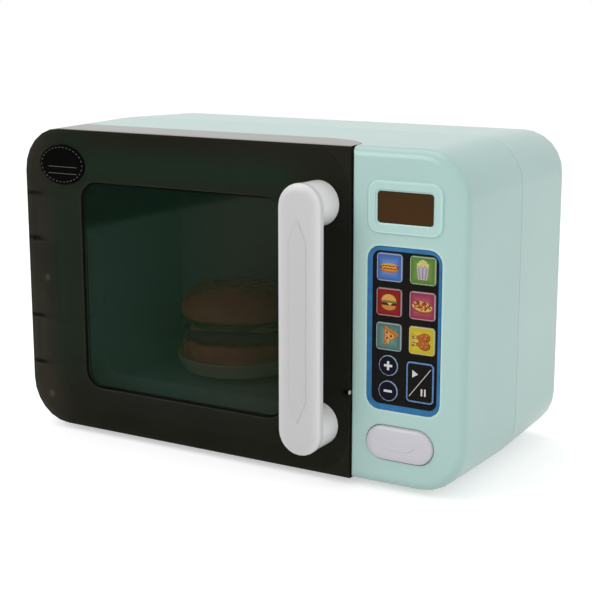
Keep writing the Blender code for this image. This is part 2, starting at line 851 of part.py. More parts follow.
def bezel():
    """The raised frame round the display, with a chamfered edge."""

    def ring(inset, depth):
        width = BEZEL_WIDTH - 2 * inset
        height = BEZEL_HEIGHT - 2 * inset
        return rounded((DISPLAY_X, DISPLAY_Z), width, height, BEZEL_RADIUS - inset), depth

    chamfer = BEZEL_EDGE / 2
    return loft("bezel", [ring(0, MELD), ring(0, chamfer - BEZEL_RISE), ring(chamfer, -BEZEL_RISE)])


def bezel_opening():
    """The flared hole in front of the glass."""

    def ring(margin, depth):
        width = GLASS_WIDTH + 2 * margin
        height = GLASS_HEIGHT + 2 * margin
        return rounded((DISPLAY_X, DISPLAY_Z), width, height, GLASS_RADIUS + margin), depth

    wide = SEAT + BEZEL_EDGE
    rings = [ring(wide, -BEZEL_RISE - OVERRUN), ring(wide, MELD / 2 - BEZEL_RISE)]
    rings += [ring(SEAT, GLASS_SINK - BEZEL_RISE), ring(SEAT, WALL + OVERRUN)]
    return loft("bezel_opening", rings)


def keypad_opening():
    """The overlay's recess with the opening for the keys inside its ledge."""

    def ring(margin, depth):
        width = PAD_WIDTH + 2 * margin
        height = PAD_HEIGHT + 2 * margin
        return rounded((PAD_X, PAD_Z), width, height, PAD_RADIUS + margin, PAD_STEPS), depth

    rings = [ring(SEAT, -OVERRUN), ring(SEAT, PAD_RECESS)]
    rings += [ring(-PAD_LEDGE, PAD_RECESS), ring(-PAD_LEDGE, WALL + OVERRUN)]
    return loft("keypad_opening", rings)


def button_opening():
    """The slot that the release button slides in."""
    width = BUTTON_WIDTH + 2 * SLIDE_GAP
    height = BUTTON_HEIGHT + 2 * SLIDE_GAP
    outline = rounded((BUTTON_X, BUTTON_Z), width, height, height / 2, CORNER_STEPS)
    return front_plate("button_opening", [outline], -OVERRUN, WALL + OVERRUN)


def board_spots():
    """The board's four bosses, as X and Z."""
    across = BOARD_WIDTH / 2 - BOARD_BOSS_INSET
    for side in (-1, 1):
        for z in (BOARD_LOW + BOARD_BOSS_INSET, BOARD_HIGH - BOARD_BOSS_INSET):
            yield PAD_X + side * across, z


def spring_seat():
    """The rib behind the release button that carries its spring and guides its stem."""
    low = (BUTTON_X - SPRING_SEAT_HALF, SPRING_SEAT_Y, WALL - MELD)
    top = BUTTON_Z + BUTTON_HEIGHT / 2
    high = (BUTTON_X + SPRING_SEAT_HALF, SPRING_SEAT_Y + SPRING_SEAT_THICK, top)
    rib = box("spring_seat", low, high)
    half_width = STEM_WIDTH / 2 + SLIDE_GAP
    half_height = STEM_HEIGHT / 2 + SLIDE_GAP
    guide = box(
        "stem_guide",
        (BUTTON_X - half_width, SPRING_SEAT_Y - OVERRUN, BUTTON_Z - half_height),
        (BUTTON_X + half_width, SPRING_SEAT_Y + SPRING_SEAT_THICK + OVERRUN, BUTTON_Z + half_height),
    )
    return cut(rib, guide)


def lever_bracket(index, level):
    """A shelf that follows the panel's side wall and the cove and holds one end of the lever's pin."""
    reach = LEVER_X + LEVER_HUB_RADIUS
    shelf = box(
        f"lever_bracket_{index}",
        (COVE_START + COVE_RADIUS / 2, BRACKET_FRONT, level),
        (reach, LEVER_Y + LEVER_HUB_RADIUS, level + BRACKET_THICK),
    )
    under = level - OVERRUN
    above = level + BRACKET_THICK + OVERRUN
    cut(shelf, plan_plate(f"bracket_trim_{index}", [zone_outline(WALL / 2)], under, above))
    bore = LEVER_PIN_RADIUS + SEAT
    start = (LEVER_X, LEVER_Y, level - OVERRUN)
    return cut(shelf, rod(f"lever_bore_{index}", bore, start, BRACKET_THICK + 2 * OVERRUN, "Z"))


def nib_slot():
    """The slot in the panel's side wall that the latch nib comes through."""
    half = LEVER_ARM_THICK / 2 + SLIDE_GAP
    return box(
        "nib_slot",
        (ZONE_RIGHT - OVERRUN, WALL + SEAT, LATCH_Z - half),
        (ZONE_RIGHT + WALL + OVERRUN, NIB_Y + NIB_LENGTH + SLIDE_GAP, LATCH_Z + half),
    )


def make_front_housing():
    """The front half of the case: panel, cove, door recess, hinge arms and inner bosses."""
    tall_low = -OVERRUN - PARTING_RISE
    tall_high = BODY_HEIGHT + PARTING_RISE + OVERRUN
    item = loft("front_housing", front_rings(0, FRONT_DEPTH))
    hollow = loft("front_hollow", front_rings(WALL, FRONT_DEPTH + OVERRUN))
    cut(hollow, plan_plate("zone_inner", [zone_outline(WALL)], tall_low, tall_high))
    hollow = settle(hollow)
    cut(item, plan_plate("zone_outer", [zone_outline(0)], tall_low, tall_high))
    cut(item, hollow)
    lip = lip_ring("front_lip", WALL, WALL / 2 + SEAT, FRONT_DEPTH - MELD, FRONT_DEPTH + LIP_LENGTH)
    join(item, settle(lip))
    mouth = rounded(MOUTH_CENTRE, MOUTH_WIDTH, MOUTH_HEIGHT, MOUTH_RADIUS, CORNER_STEPS)
    cut(item, front_plate("mouth", [mouth], ZONE_DEPTH - OVERRUN, FRONT_WALL_BACK + OVERRUN))
    cut(item, button_opening())
    cut(item, nib_slot())
    cut(item, keypad_opening())
    join(item, bezel())
    cut(item, bezel_opening())
    for index, height in enumerate(HINGE_HEIGHTS):
        join(item, settle(hinge_arm(index, height)))
    add_inner_bosses(item)
    return place_part(item, mint_plastic(), base)


def add_inner_bosses(item):
    """Screw posts, board bosses, lever brackets and the spring seat."""
    for index, (x, z) in enumerate(screw_spots()):
        start = (WALL if x > 0 else FRONT_WALL_BACK) - MELD
        length = SCREW_JOINT_Y - SEAT - start
        join(item, rod(f"screw_post_{index}", SCREW_POST_RADIUS, (x, start, z), length, "Y", TUBE_STEPS))
        pilot = SCREW_SHANK_RADIUS + SEAT
        depth = SCREW_SHANK_LENGTH + SEAT
        spot = (x, SCREW_JOINT_Y - SEAT - depth, z)
        cut(item, rod(f"screw_pilot_{index}", pilot, spot, depth + OVERRUN, "Y", TUBE_STEPS))
    for index, (x, z) in enumerate(board_spots()):
        length = BOARD_FRONT - SEAT - WALL + MELD
        join(item, rod(f"board_boss_{index}", BOSS_RADIUS, (x, WALL - MELD, z), length, "Y", TUBE_STEPS))
    join(item, settle(lever_bracket(0, LEVER_LOW - SEAT - BRACKET_THICK)))
    join(item, settle(lever_bracket(1, LEVER_HIGH + SEAT)))
    join(item, settle(spring_seat()))


def lid_outline(margin):
    """The battery lid's outline: the bay and the tab above it for the screw."""
    centre = (BAY_X, BAY_Z + LID_TAB / 2)
    return rounded(centre, BAY_WIDTH + 2 * margin, BAY_HEIGHT + LID_TAB + 2 * margin, LID_CORNER + margin)


def rear_tubes(item):
    """Deep tubes that take the four case screws."""
    for index, (x, z) in enumerate(screw_spots()):
        start = SCREW_JOINT_Y
        length = REAR_INSIDE + MELD - start
        join(item, rod(f"tube_{index}", SCREW_TUBE_RADIUS, (x, start, z), length, "Y", TUBE_STEPS))
    for index, (x, z) in enumerate(screw_spots()):
        bore = SCREW_TUBE_RADIUS - SCREW_TUBE_WALL
        start = SCREW_JOINT_Y + SCREW_TUBE_WALL
        length = BODY_DEPTH + OVERRUN - start
        cut(item, rod(f"tube_bore_{index}", bore, (x, start, z), length, "Y", TUBE_STEPS))
        hole = SCREW_SHANK_RADIUS + SEAT
        near = SCREW_JOINT_Y - OVERRUN
        cut(item, rod(f"tube_hole_{index}", hole, (x, near, z), 2 * OVERRUN, "Y", TUBE_STEPS))


def grille_slots(item):
    """Level slots in a round patch in front of the speaker."""
    middle = (GRILLE_COUNT - 1) / 2
    for index in range(GRILLE_COUNT):
        drop = (index - middle) * GRILLE_PITCH
        reach = math.sqrt((SPEAKER_RADIUS - GRILLE_SLOT) ** 2 - drop**2)
        outline = rounded((SPEAKER_X, SPEAKER_Z + drop), 2 * reach, GRILLE_SLOT, GRILLE_SLOT / 2)
        slot = front_plate(f"grille_{index}", [outline], REAR_INSIDE - OVERRUN, BODY_DEPTH + OVERRUN)
        cut(item, slot)


def speaker_ring():
    """The ring on the rear wall that the speaker sits in."""
    start = REAR_INSIDE - SPEAKER_DEPTH / 2
    place = (SPEAKER_X, start, SPEAKER_Z)
    bore = SPEAKER_RADIUS + SEAT
    ring = rod("speaker_ring", bore + SPEAKER_RING, place, REAR_INSIDE + MELD - start, "Y", ROUND_STEPS)
    place = (SPEAKER_X, start - OVERRUN, SPEAKER_Z)
    return cut(ring, rod("speaker_seat", bore, place, REAR_INSIDE - start + OVERRUN, "Y", ROUND_STEPS))


def make_rear_cover():
    """The rear half of the case: screw tubes, speaker grille, switch slot and battery opening."""
    start = FRONT_DEPTH + SEAM_GAP
    item = loft("rear_cover", rear_rings(0, start))
    cut(item, loft("rear_hollow", rear_rings(WALL, start - OVERRUN)))
    rebate_end = FRONT_DEPTH + LIP_LENGTH + SEAT
    rebate = [
        (case_section(start - OVERRUN, WALL / 2), start - OVERRUN),
        (case_section(rebate_end, WALL / 2), rebate_end),
    ]
    cut(item, loft("rear_rebate", rebate))
    rear_tubes(item)
    join(item, settle(speaker_ring()))
    grille_slots(item)
    travel = SWITCH_KNOB_WIDTH + SWITCH_TRAVEL + 2 * SLIDE_GAP
    slot_height = SWITCH_KNOB_HEIGHT + 2 * SLIDE_GAP
    slot = rounded((SWITCH_X, SWITCH_Z), travel, slot_height, SLIDE_GAP, 1)
    cut(item, front_plate("switch_slot", [slot], REAR_INSIDE - OVERRUN, BODY_DEPTH + OVERRUN))
    opening = front_plate("bay_opening", [lid_outline(SEAT)], REAR_INSIDE - OVERRUN, BODY_DEPTH + OVERRUN)
    cut(item, opening)
    return place_part(item, mint_plastic(), base)


def make_cavity_liner():
    """The cooking space: a tub behind the mouth with a flange, a shaft hole and a lamp hole."""
    front = FRONT_WALL_BACK + SEAT

    def ring(margin, depth):
        wide = MOUTH_WIDTH + 2 * margin
        tall = MOUTH_HEIGHT + 2 * margin
        return rounded(MOUTH_CENTRE, wide, tall, MOUTH_RADIUS + margin, CORNER_STEPS), depth

    levels = (
        (-LINER_DRAFT, LINER_BACK - LINER_WALL),
        (0, front),
        (LINER_FLANGE, front),
        (LINER_FLANGE, front + LINER_WALL),
        (LINER_WALL, front + LINER_WALL),
        (LINER_WALL - LINER_DRAFT, LINER_BACK),
    )
    item = loft("cavity_liner", [ring(margin, depth) for margin, depth in levels])
    hole = DRIVE_SHAFT_RADIUS + 2 * RUNNING_GAP
    floor = MOUTH_LOW - LINER_WALL - OVERRUN
    cut(item, rod("shaft_hole", hole, (TABLE_X, TABLE_Y, floor), LINER_WALL + 2 * OVERRUN, "Z"))
    ceiling = MOUTH_LOW + MOUTH_HEIGHT - OVERRUN
    lamp = LAMP_RADIUS + SEAT
    cut(item, rod("lamp_hole", lamp, (TABLE_X, LAMP_Y, ceiling), LINER_WALL + 2 * OVERRUN, "Z"))
    return place_part(item, mint_plastic(), base)


def make_cavity_lamp():
    """A lamp whose dome shows through the ceiling of the cooking space."""
    ceiling = MOUTH_LOW + MOUTH_HEIGHT - LAMP_DRAFT
    top = ceiling + LAMP_LENGTH
    ledge = ceiling + LINER_WALL + LAMP_DRAFT + SEAT
    rim = LAMP_RADIUS + LAMP_FLANGE
    steps = list(quarter(SMALL_STEPS))[:-1]
    dome = [(LAMP_RADIUS * (1 - across), ceiling - LAMP_SHOW * (1 - down)) for down, across in steps]
    dome.append((0, ceiling - LAMP_SHOW))
    profile = [(0, top), (LAMP_RADIUS, top), (LAMP_RADIUS, ledge + LAMP_FLANGE)]
    profile += [(rim, ledge + LAMP_FLANGE), (rim, ledge), (LAMP_RADIUS, ledge)]
    item = turned("cavity_lamp", profile + dome, (TABLE_X, LAMP_Y, 0), "Z", PIN_STEPS)
    return place_part(item, paint("lamp_plastic", (0.9, 0.86, 0.7), 0.2), base, (TABLE_X, LAMP_Y, ceiling))


def liner_underside(depth):
    """Height of the liner's outer floor, which rises with the draft towards the back."""
    front = FRONT_WALL_BACK + SEAT + LINER_WALL
    share = (depth - front) / (LINER_BACK - front)
    return MOUTH_LOW - LINER_WALL + LINER_DRAFT * share


def liner_floor(depth):
    """Height of the cooking space's floor at a depth."""
    front = FRONT_WALL_BACK + SEAT
    share = (depth - front) / (LINER_BACK - LINER_WALL - front)
    return MOUTH_LOW + LINER_DRAFT * share


def make_turntable_motor():
    """A geared motor below the floor with its shaft up through the liner."""
    half_width = MOTOR_WIDTH / 2
    half_depth = MOTOR_DEPTH / 2
    top = liner_underside(TABLE_Y - half_depth) - SEAT
    item = box(
        "turntable_motor",
        (TABLE_X - half_width, TABLE_Y - half_depth, top - MOTOR_HEIGHT),
        (TABLE_X + half_width, TABLE_Y + half_depth, top),
    )
    soften(item, MOTOR_ROUND, 1)
    item = settle(item)
    height = PLATE_BASE_Z - SEAT - top + MELD
    join(item, rod("drive_shaft", DRIVE_SHAFT_RADIUS, (TABLE_X, TABLE_Y, top - MELD), height, "Z"))
    return place_part(item, black_plastic(), base)


def make_turntable_coupler():
    """A hub on the motor's shaft whose three arms drive the plate."""
    low = liner_floor(TABLE_Y + COUPLER_RADIUS) + SEAT
    high = PLATE_BASE_Z - SEAT
    place = (TABLE_X, TABLE_Y, low)
    item = rod("turntable_coupler", COUPLER_HUB, place, high - low, "Z")
    for index in range(DOG_COUNT):
        arm = box(
            f"coupler_arm_{index}",
            (0, -COUPLER_THICK / 2, low),
            (COUPLER_RADIUS, COUPLER_THICK / 2, high),
        )
        turn = Matrix.Rotation(2 * math.pi * index / DOG_COUNT, 4, "Z")
        arm.data.transform(Matrix.Translation((TABLE_X, TABLE_Y, 0)) @ turn)
        join(item, arm)
    bore = DRIVE_SHAFT_RADIUS + RUNNING_GAP
    start = (TABLE_X, TABLE_Y, low - OVERRUN)
    cut(item, rod("coupler_bore", bore, start, high - low + 2 * OVERRUN, "Z"))
    return place_part(item, black_plastic(), table_axis)


def make_turntable_plate():
    """A round plate with a raised rim and three drive dogs below."""
    low = PLATE_BASE_Z
    base_top = low + PLATE_THICK
    profile = [
        (0, base_top),
        (PLATE_BASE_RADIUS, base_top),
        (PLATE_RADIUS - PLATE_THICK, PLATE_RIM_Z),
        (PLATE_RADIUS, PLATE_RIM_Z),
        (PLATE_RADIUS, PLATE_RIM_Z - PLATE_THICK),
        (PLATE_BASE_RADIUS + PLATE_THICK, low),
        (0, low),
    ]
    item = turned("turntable_plate", profile, (TABLE_X, TABLE_Y, 0), "Z", FOOD_STEPS)
    dog_low = liner_floor(TABLE_Y + DOG_CIRCLE) + SEAT
    for index in range(DOG_COUNT):
        angle = 2 * math.pi * (index + 0.5) / DOG_COUNT
        spot = (TABLE_X + DOG_CIRCLE * math.cos(angle), TABLE_Y + DOG_CIRCLE * math.sin(angle), dog_low)
        join(item, rod(f"dog_{index}", DOG_RADIUS, spot, low + MELD - dog_low, "Z"))
    return place_part(item, paint("plate_plastic", (0.75, 0.72, 0.62), 0.35), table_axis)


def bun_profile(low, height, radius, low_round, dome):
    """A disc with a rounded lower edge. The dome is its width, its height and its crown at the middle."""
    top = low + height
    wide, tall, crown = dome
    profile = [(0, top)]
    for inward, deeper in quarter(FILLET_STEPS if crown > 0 else EDGE_STEPS):
        profile.append((radius - wide * inward, top - crown - tall * deeper))
    for inward, deeper in quarter(FILLET_STEPS if low_round > 2 * BUN_EDGE_ROUND else EDGE_STEPS):
        profile.append((radius - low_round * deeper, low + low_round * inward))
    profile.append((0, low))
    return profile


def bun_layer(name, level, height, radius, low_round, dome, material):
    """One turned layer of the burger."""
    profile = bun_profile(level, height, radius, low_round, dome)
    item = turned(name, profile, (TABLE_X, TABLE_Y, 0), "Z", FOOD_STEPS)
    place_part(item, material, table_axis)


def make_burger():
    """Five layers on the plate, bottom to top."""
    bun = paint("bun", (0.52, 0.22, 0.07), 0.5)
    level = PLATE_BASE_Z + PLATE_THICK + SEAT
    edge = (BUN_EDGE_ROUND, BUN_EDGE_ROUND, 0)
    bun_layer("food_bun_bottom", level, BUN_BOTTOM_HEIGHT, BUN_RADIUS, BUN_LOW_ROUND, edge, bun)
    level += BUN_BOTTOM_HEIGHT + SEAT
    edge = (PATTY_ROUND, PATTY_ROUND, 0)
    patty = paint("patty", (0.12, 0.05, 0.03), 0.7)
    bun_layer("food_patty", level, PATTY_HEIGHT, PATTY_RADIUS, PATTY_ROUND, edge, patty)
    level += PATTY_HEIGHT + SEAT
    outline = rounded((0, 0), CHEESE_SIDE, CHEESE_SIDE, CHEESE_ROUND)
    item = plan_plate("food_cheese", [outline], level, level + CHEESE_THICK)
    turn = Matrix.Rotation(math.radians(CHEESE_TURN), 4, "Z")
    item.data.transform(Matrix.Translation((TABLE_X, TABLE_Y, 0)) @ turn)
    place_part(item, paint("cheese", (0.85, 0.50, 0.08), 0.45), table_axis)
    level += CHEESE_THICK + SEAT
    place_part(make_lettuce(level), paint("lettuce", (0.16, 0.36, 0.07), 0.5), table_axis)
    level += LETTUCE_THICK + 2 * LETTUCE_WAVE + SEAT
    dome = (BUN_DOME_WIDTH, BUN_DOME_HEIGHT, BUN_DOME_CROWN)
    bun_layer("food_bun_top", level, BUN_TOP_HEIGHT, BUN_RADIUS, BUN_EDGE_ROUND, dome, bun)


def make_lettuce(level):
    """A disc whose rim waves up and down."""
    steps = LETTUCE_STEPS * LETTUCE_WAVES
    middle = level + LETTUCE_WAVE

    def build(work):
        centre_low = work.verts.new((TABLE_X, TABLE_Y, middle))
        centre_high = work.verts.new((TABLE_X, TABLE_Y, middle + LETTUCE_THICK))
        lows, highs = [], []
        for k in range(steps):
            angle = 2 * math.pi * k / steps
            wave = math.sin(LETTUCE_WAVES * angle)
            radius = LETTUCE_RADIUS + LETTUCE_WAVE * math.cos(2 * LETTUCE_WAVES * angle)
            x = TABLE_X + radius * math.cos(angle)
            y = TABLE_Y + radius * math.sin(angle)
            z = middle + LETTUCE_WAVE * wave
            lows.append(work.verts.new((x, y, z)))
            highs.append(work.verts.new((x, y, z + LETTUCE_THICK)))
        for k in range(steps):
            after = (k + 1) % steps
            work.faces.new((lows[k], lows[after], highs[after], highs[k]))
            work.faces.new((centre_high, highs[k], highs[after]))
            work.faces.new((centre_low, lows[after], lows[k]))
        bmesh.ops.recalc_face_normals(work, faces=work.faces)

    return mesh_from("food_lettuce", build)


def door_section(depth, inset, right_inset):
    """The door's front view: round corners at the left, square at the seam."""
    rise = PARTING_RISE * depth / FRONT_DEPTH - inset
    left = -HALF_WIDTH + inset
    right = DOOR_RIGHT - right_inset
    low = -rise
    high = BODY_HEIGHT + rise
    radius = CORNER_RADIUS - inset
    points = [(right, high)]
    points += arc((left + radius, high - radius), radius, 90, 180, CORNER_STEPS)
    points += arc((left + radius, low + radius), radius, 180, 270, CORNER_STEPS)
    points += [(right, low)]
    return points


def rim_cutter():
    """What lies behind the door's rim: it rounds about the hinge axis and follows the cove."""
    swing = DOOR_DEPTH - HINGE_Y
    start = math.degrees(math.acos((-HALF_WIDTH - HINGE_X) / swing))
    radius = COVE_RADIUS - DOOR_BACK_GAP
    right = DOOR_RIGHT + OVERRUN
    angle = math.degrees(math.acos((right - COVE_START) / radius))
    points = arc((HINGE_X, HINGE_Y), swing, start, 90, SMALL_STEPS)
    points += arc((COVE_START, COVE_CENTRE_Y), radius, 90, angle, CORNER_STEPS)
    far = DOOR_DEPTH + OVERRUN + OVERRUN
    points += [(right, far), (-HALF_WIDTH - OVERRUN, far), (-HALF_WIDTH - OVERRUN, points[0][1])]
    return plan_plate("rim_cutter", [points], -OVERRUN - PARTING_RISE, BODY_HEIGHT + PARTING_RISE + OVERRUN)


def window_ring(inset, depth):
    """The window's outline, drawn in by an inset."""
    width = WINDOW_WIDTH - 2 * inset
    height = WINDOW_HEIGHT - 2 * inset
    return rounded(WINDOW_CENTRE, width, height, WINDOW_RADIUS - inset, CORNER_STEPS), depth


def window_step():
    """The block behind the window that keeps the wall's thickness where the face steps back."""
    grow = DOOR_WALL / 2
    rings = [window_ring(-grow, DOOR_WALL - MELD), window_ring(WINDOW_SLOPE - grow, DOOR_WALL + WINDOW_STEP)]
    return loft("window_step", rings)


def window_recess():
    """The recess in the door's face, carried on past the face at the same slope."""
    rings = []
    for depth in (-OVERRUN, WINDOW_STEP):
        rings.append(window_ring(depth * WINDOW_SLOPE / WINDOW_STEP, depth))
    return loft("window_recess", rings)


def door_ears(item):
    """Four plates that take the hinge pins, joined to the door's side and front walls."""
    for index, height in enumerate(hinge_ears()):
        low = height - EAR_THICK / 2
        outline = [
            (-HALF_WIDTH + DOOR_WALL - MELD, DOOR_WALL - MELD),
            (HINGE_X + EAR_REACH, DOOR_WALL - MELD),
            (HINGE_X + EAR_REACH, HINGE_Y),
        ]
        outline += arc((HINGE_X, HINGE_Y), EAR_REACH, 0, 90, SMALL_STEPS)[1:]
        outline += [(-HALF_WIDTH + DOOR_WALL - MELD, HINGE_Y + EAR_REACH)]
        ear = plan_plate(f"ear_{index}", [outline], low, low + EAR_THICK)
        join(item, ear)
        bore = PIN_RADIUS + SEAT
        start = (HINGE_X, HINGE_Y, low - OVERRUN)
        cut(item, rod(f"ear_bore_{index}", bore, start, EAR_THICK + 2 * OVERRUN, "Z"))


def keeper(item):
    """The block that the latch nib drops behind, with its pocket open at the back."""
    half = KEEPER_HEIGHT / 2
    block = box(
        "keeper",
        (DOOR_RIGHT - DOOR_WALL - KEEPER_WIDTH + MELD, DOOR_WALL - MELD, LATCH_Z - half),
        (DOOR_RIGHT - DOOR_WALL + MELD, DOOR_WALL + KEEPER_DEPTH, LATCH_Z + half),
    )
    join(item, block)
    pocket_half = LEVER_ARM_THICK / 2 + SLIDE_GAP
    front = NIB_Y - NIB_CLEAR - SLIDE_GAP
    pocket = box(
        "keeper_pocket",
        (DOOR_RIGHT - DOOR_WALL - KEEPER_WALL, front, LATCH_Z - pocket_half),
        (DOOR_RIGHT + OVERRUN, DOOR_DEPTH + OVERRUN, LATCH_Z + pocket_half),
    )
    cut(item, pocket)


def make_door_shell():
    """The tinted door: a shallow tray with a stepped window, ears and a keeper."""
    far = DOOR_DEPTH + OVERRUN
    rings = []
    for inward, deeper in quarter(EDGE_STEPS):
        inset = DOOR_EDGE_ROUND * inward
        depth = DOOR_EDGE_ROUND * deeper
        rings.append((door_section(depth, inset, inset), depth))
    rings.append((door_section(far, 0, 0), far))
    item = loft("door_shell", rings)
    inner = [
        (door_section(DOOR_WALL, DOOR_WALL, DOOR_WALL), DOOR_WALL),
        (door_section(far + OVERRUN, DOOR_WALL, DOOR_WALL), far + OVERRUN),
    ]
    cut(item, loft("door_hollow", inner))
    cut(item, rim_cutter())
    join(item, window_step())
    cut(item, window_recess())
    door_ears(item)
    keeper(item)
    for index, z in enumerate(post_heights()):
        hole = HANDLE_SCREW_RADIUS + SEAT
        cut(item, rod(f"handle_hole_{index}", hole, (HANDLE_X, -OVERRUN, z), DOOR_WALL + 2 * OVERRUN, "Y"))
    return place_part(item, tinted_plastic(), door_axis)


def post_heights():
    """Heights of the handle's two posts."""
    return HANDLE_LOW + HANDLE_HALF_WIDTH, HANDLE_HIGH - HANDLE_HALF_WIDTH


def relief_outline(inset):
    """A long hexagon with a point at each end."""
    half = RELIEF_WIDTH / 2 - inset
    reach = (HANDLE_HIGH - HANDLE_LOW) / 2 - RELIEF_INSET
    return lozenge((HANDLE_X, HANDLE_MIDDLE), reach - inset, half, reach - RELIEF_POINT)


def lozenge(centre, tall, half, shoulder):
    """A hexagon with a point at its top and bottom."""
    right = [(half, -shoulder), (half, shoulder), (0, tall)]
    left = [(-x, -z) for x, z in right]
    return [(centre[0] + x, centre[1] + z) for x, z in right + left]


def make_handle():
    """A round-ended bar on two thick posts, its face domed and carrying a long raised lozenge."""
    back = HANDLE_THICK - HANDLE_REACH

    def ring(inset, depth):
        radius = HANDLE_HALF_WIDTH - inset
        tall = HANDLE_HIGH - HANDLE_LOW - 2 * inset
        return rounded((HANDLE_X, HANDLE_MIDDLE), 2 * radius, tall, radius, CORNER_STEPS), depth

    rings = []
    for inward, deeper in quarter(DOME_STEPS):
        rings.append(ring(HANDLE_FLANK * inward, -HANDLE_REACH + HANDLE_DOME * deeper))
    rings.append(ring(0, back - HANDLE_BACK_CHAMFER))
    rings.append(ring(HANDLE_BACK_CHAMFER, back))
    item = loft("door_handle", rings)
    for index, z in enumerate(post_heights()):
        start = -HANDLE_REACH + HANDLE_DOME
        post = rod(f"post_{index}", POST_RADIUS, (HANDLE_X, start, z), -SEAT - start, "Y", POST_STEPS)
        join(item, post)
    relief = [
        (relief_outline(RELIEF_RISE), -HANDLE_REACH - RELIEF_RISE),
        (relief_outline(0), -HANDLE_REACH + MELD),
    ]
    join(item, loft("relief", relief))
    for index, z in enumerate(post_heights()):
        pilot = HANDLE_SCREW_RADIUS + SEAT
        depth = HANDLE_SCREW_DEPTH - DOOR_WALL + SEAT
        cut(item, rod(f"handle_pilot_{index}", pilot, (HANDLE_X, -depth, z), depth + OVERRUN, "Y"))
    return place_part(item, white_plastic(), door_axis, (HANDLE_X, 0, HANDLE_MIDDLE))


def pan_screw(name, shank, length, head, thick, place, forward):
    """A round-headed screw along Y with a cross slot. Forward is the way that it is driven."""
    under = thick * PAN_SHARE
    profile = [
        (0, thick),
        (head - under, thick),
        (head, 0),
        (shank, 0),
        (shank, -length + shank),
        (0, -length),
    ]
    item = turned(name, profile, (0, 0, 0), "Z", SCREW_STEPS)
    half = shank * SLOT_SHARE / 2
    reach = head * SLOT_SHARE
    for index, (across, up) in enumerate(((reach, half), (half, reach))):
        cut(item, box(f"{name}_slot_{index}", (-across, -up, thick - under), (across, up, thick + OVERRUN)))
    item = settle(item)
    turn = Matrix.Rotation(math.radians(90 * forward), 4, "X")
    item.data.transform(Matrix.Translation(place) @ turn)
    return item


def make_handle_screws():
    """The two screws that hold the handle from inside the door."""
    for name, z in zip(("handle_screw_lower", "handle_screw_upper"), post_heights()):
        place = (HANDLE_X, DOOR_WALL + SEAT, z)
        item = pan_screw(
            name,
            HANDLE_SCREW_RADIUS,
            HANDLE_SCREW_DEPTH,
            HANDLE_SCREW_HEAD,
            HANDLE_SCREW_HEAD_THICK,
            place,
            -1,
        )
        place_part(item, steel(), door_axis, place)


def make_door_badge():
    """A blank oval plate."""
    back = -SEAT
    rings = []
    for inset, depth in ((BADGE_THICK / 2, back - BADGE_THICK), (0, back - BADGE_THICK / 2), (0, back)):
        outline = ellipse((BADGE_X, BADGE_Z), BADGE_WIDTH - 2 * inset, BADGE_HEIGHT - 2 * inset)
        rings.append((outline, depth))
    item = loft("door_badge", rings)
    return place_part(item, black_plastic(), door_axis, (BADGE_X, 0, BADGE_Z))


def make_hinge_pins():
    """The two pins that the door turns on."""
    for name, height in zip(("hinge_pin_lower", "hinge_pin_upper"), HINGE_HEIGHTS):
        length = HINGE_PITCH + EAR_THICK
        start = (HINGE_X, HINGE_Y, height - length / 2)
        item = rod(name, PIN_RADIUS, start, length, "Z")
        place_part(item, steel(), door_axis, (HINGE_X, HINGE_Y, height))


def make_display():
    """The smoked glass in the bezel and the display block behind it."""
    centre = (DISPLAY_X, DISPLAY_Z)
    face = -BEZEL_RISE + GLASS_SINK
    flange_front = WALL + SEAT
    flange_back = flange_front + GLASS_FLANGE_THICK
    rings = []
    wide = GLASS_FLANGE
    for margin, depth in ((0, face), (0, flange_front), (wide, flange_front), (wide, flange_back)):
        outline = rounded(centre, GLASS_WIDTH + 2 * margin, GLASS_HEIGHT + 2 * margin, GLASS_RADIUS)
        rings.append((outline, depth))
    glass = loft("display_lens", rings)
    place_part(glass, paint("smoked_glass", (0.045, 0.018, 0.008), 0.1), base, (DISPLAY_X, 0, DISPLAY_Z))
    start = flange_back + SEAT
    half_width = MODULE_WIDTH / 2
    half_height = MODULE_HEIGHT / 2
    module = box(
        "display_module",
        (DISPLAY_X - half_width, start, DISPLAY_Z - half_height),
        (DISPLAY_X + half_width, start + MODULE_DEPTH, DISPLAY_Z + half_height),
    )
    place_part(module, black_plastic(), base, (DISPLAY_X, start, DISPLAY_Z))


def make_keypad():
    """The panel's overlay with its nine windows, the keys in them and the mat behind."""
    outlines = [rounded((PAD_X, PAD_Z), PAD_WIDTH, PAD_HEIGHT, PAD_RADIUS, PAD_STEPS)]
    for name, place, size, radius in key_shapes():
        outlines.append(key_outline(place, size, radius, SLIDE_GAP))
    overlay = front_plate("keypad_overlay", outlines, -PAD_RISE, PAD_BACK)
    place_part(overlay, paint("overlay_black", (0.02, 0.02, 0.025), 0.15), base, (PAD_X, 0, PAD_Z))
    for name, place, size, radius in key_shapes():
        make_key(name, place, size, radius)
    make_key_mat()


def make_key(name, place, size, radius):
    """A pad with a flange behind the overlay that keeps it in."""
    front = -PAD_RISE - KEY_RISE
    crown = KEY_RISE / 2
    levels = (
        (-crown, front),
        (0, front + crown),
        (0, KEY_FLANGE_FRONT),
        (KEY_FLANGE, KEY_FLANGE_FRONT),
        (KEY_FLANGE, KEY_BACK),
    )
    item = loft(name, [(key_outline(place, size, radius, margin), depth) for margin, depth in levels])
    axis = new_empty(name + "_axis", (place[0], 0, place[1]), base)
    place_part(item, key_paint(name), axis)


def key_paint(name):
    """The colour of a key's printed tile."""
    colours = {
        "key_hot_dog": (0.11, 0.25, 0.62),
        "key_popcorn": (0.20, 0.42, 0.07),
        "key_burger": (0.55, 0.04, 0.04),
        "key_pie": (0.50, 0.08, 0.22),
        "key_pizza": (0.08, 0.33, 0.33),
        "key_chicken": (0.80, 0.62, 0.04),
    }
    return paint(name + "_print", colours.get(name, (0.03, 0.035, 0.06)), 0.25)


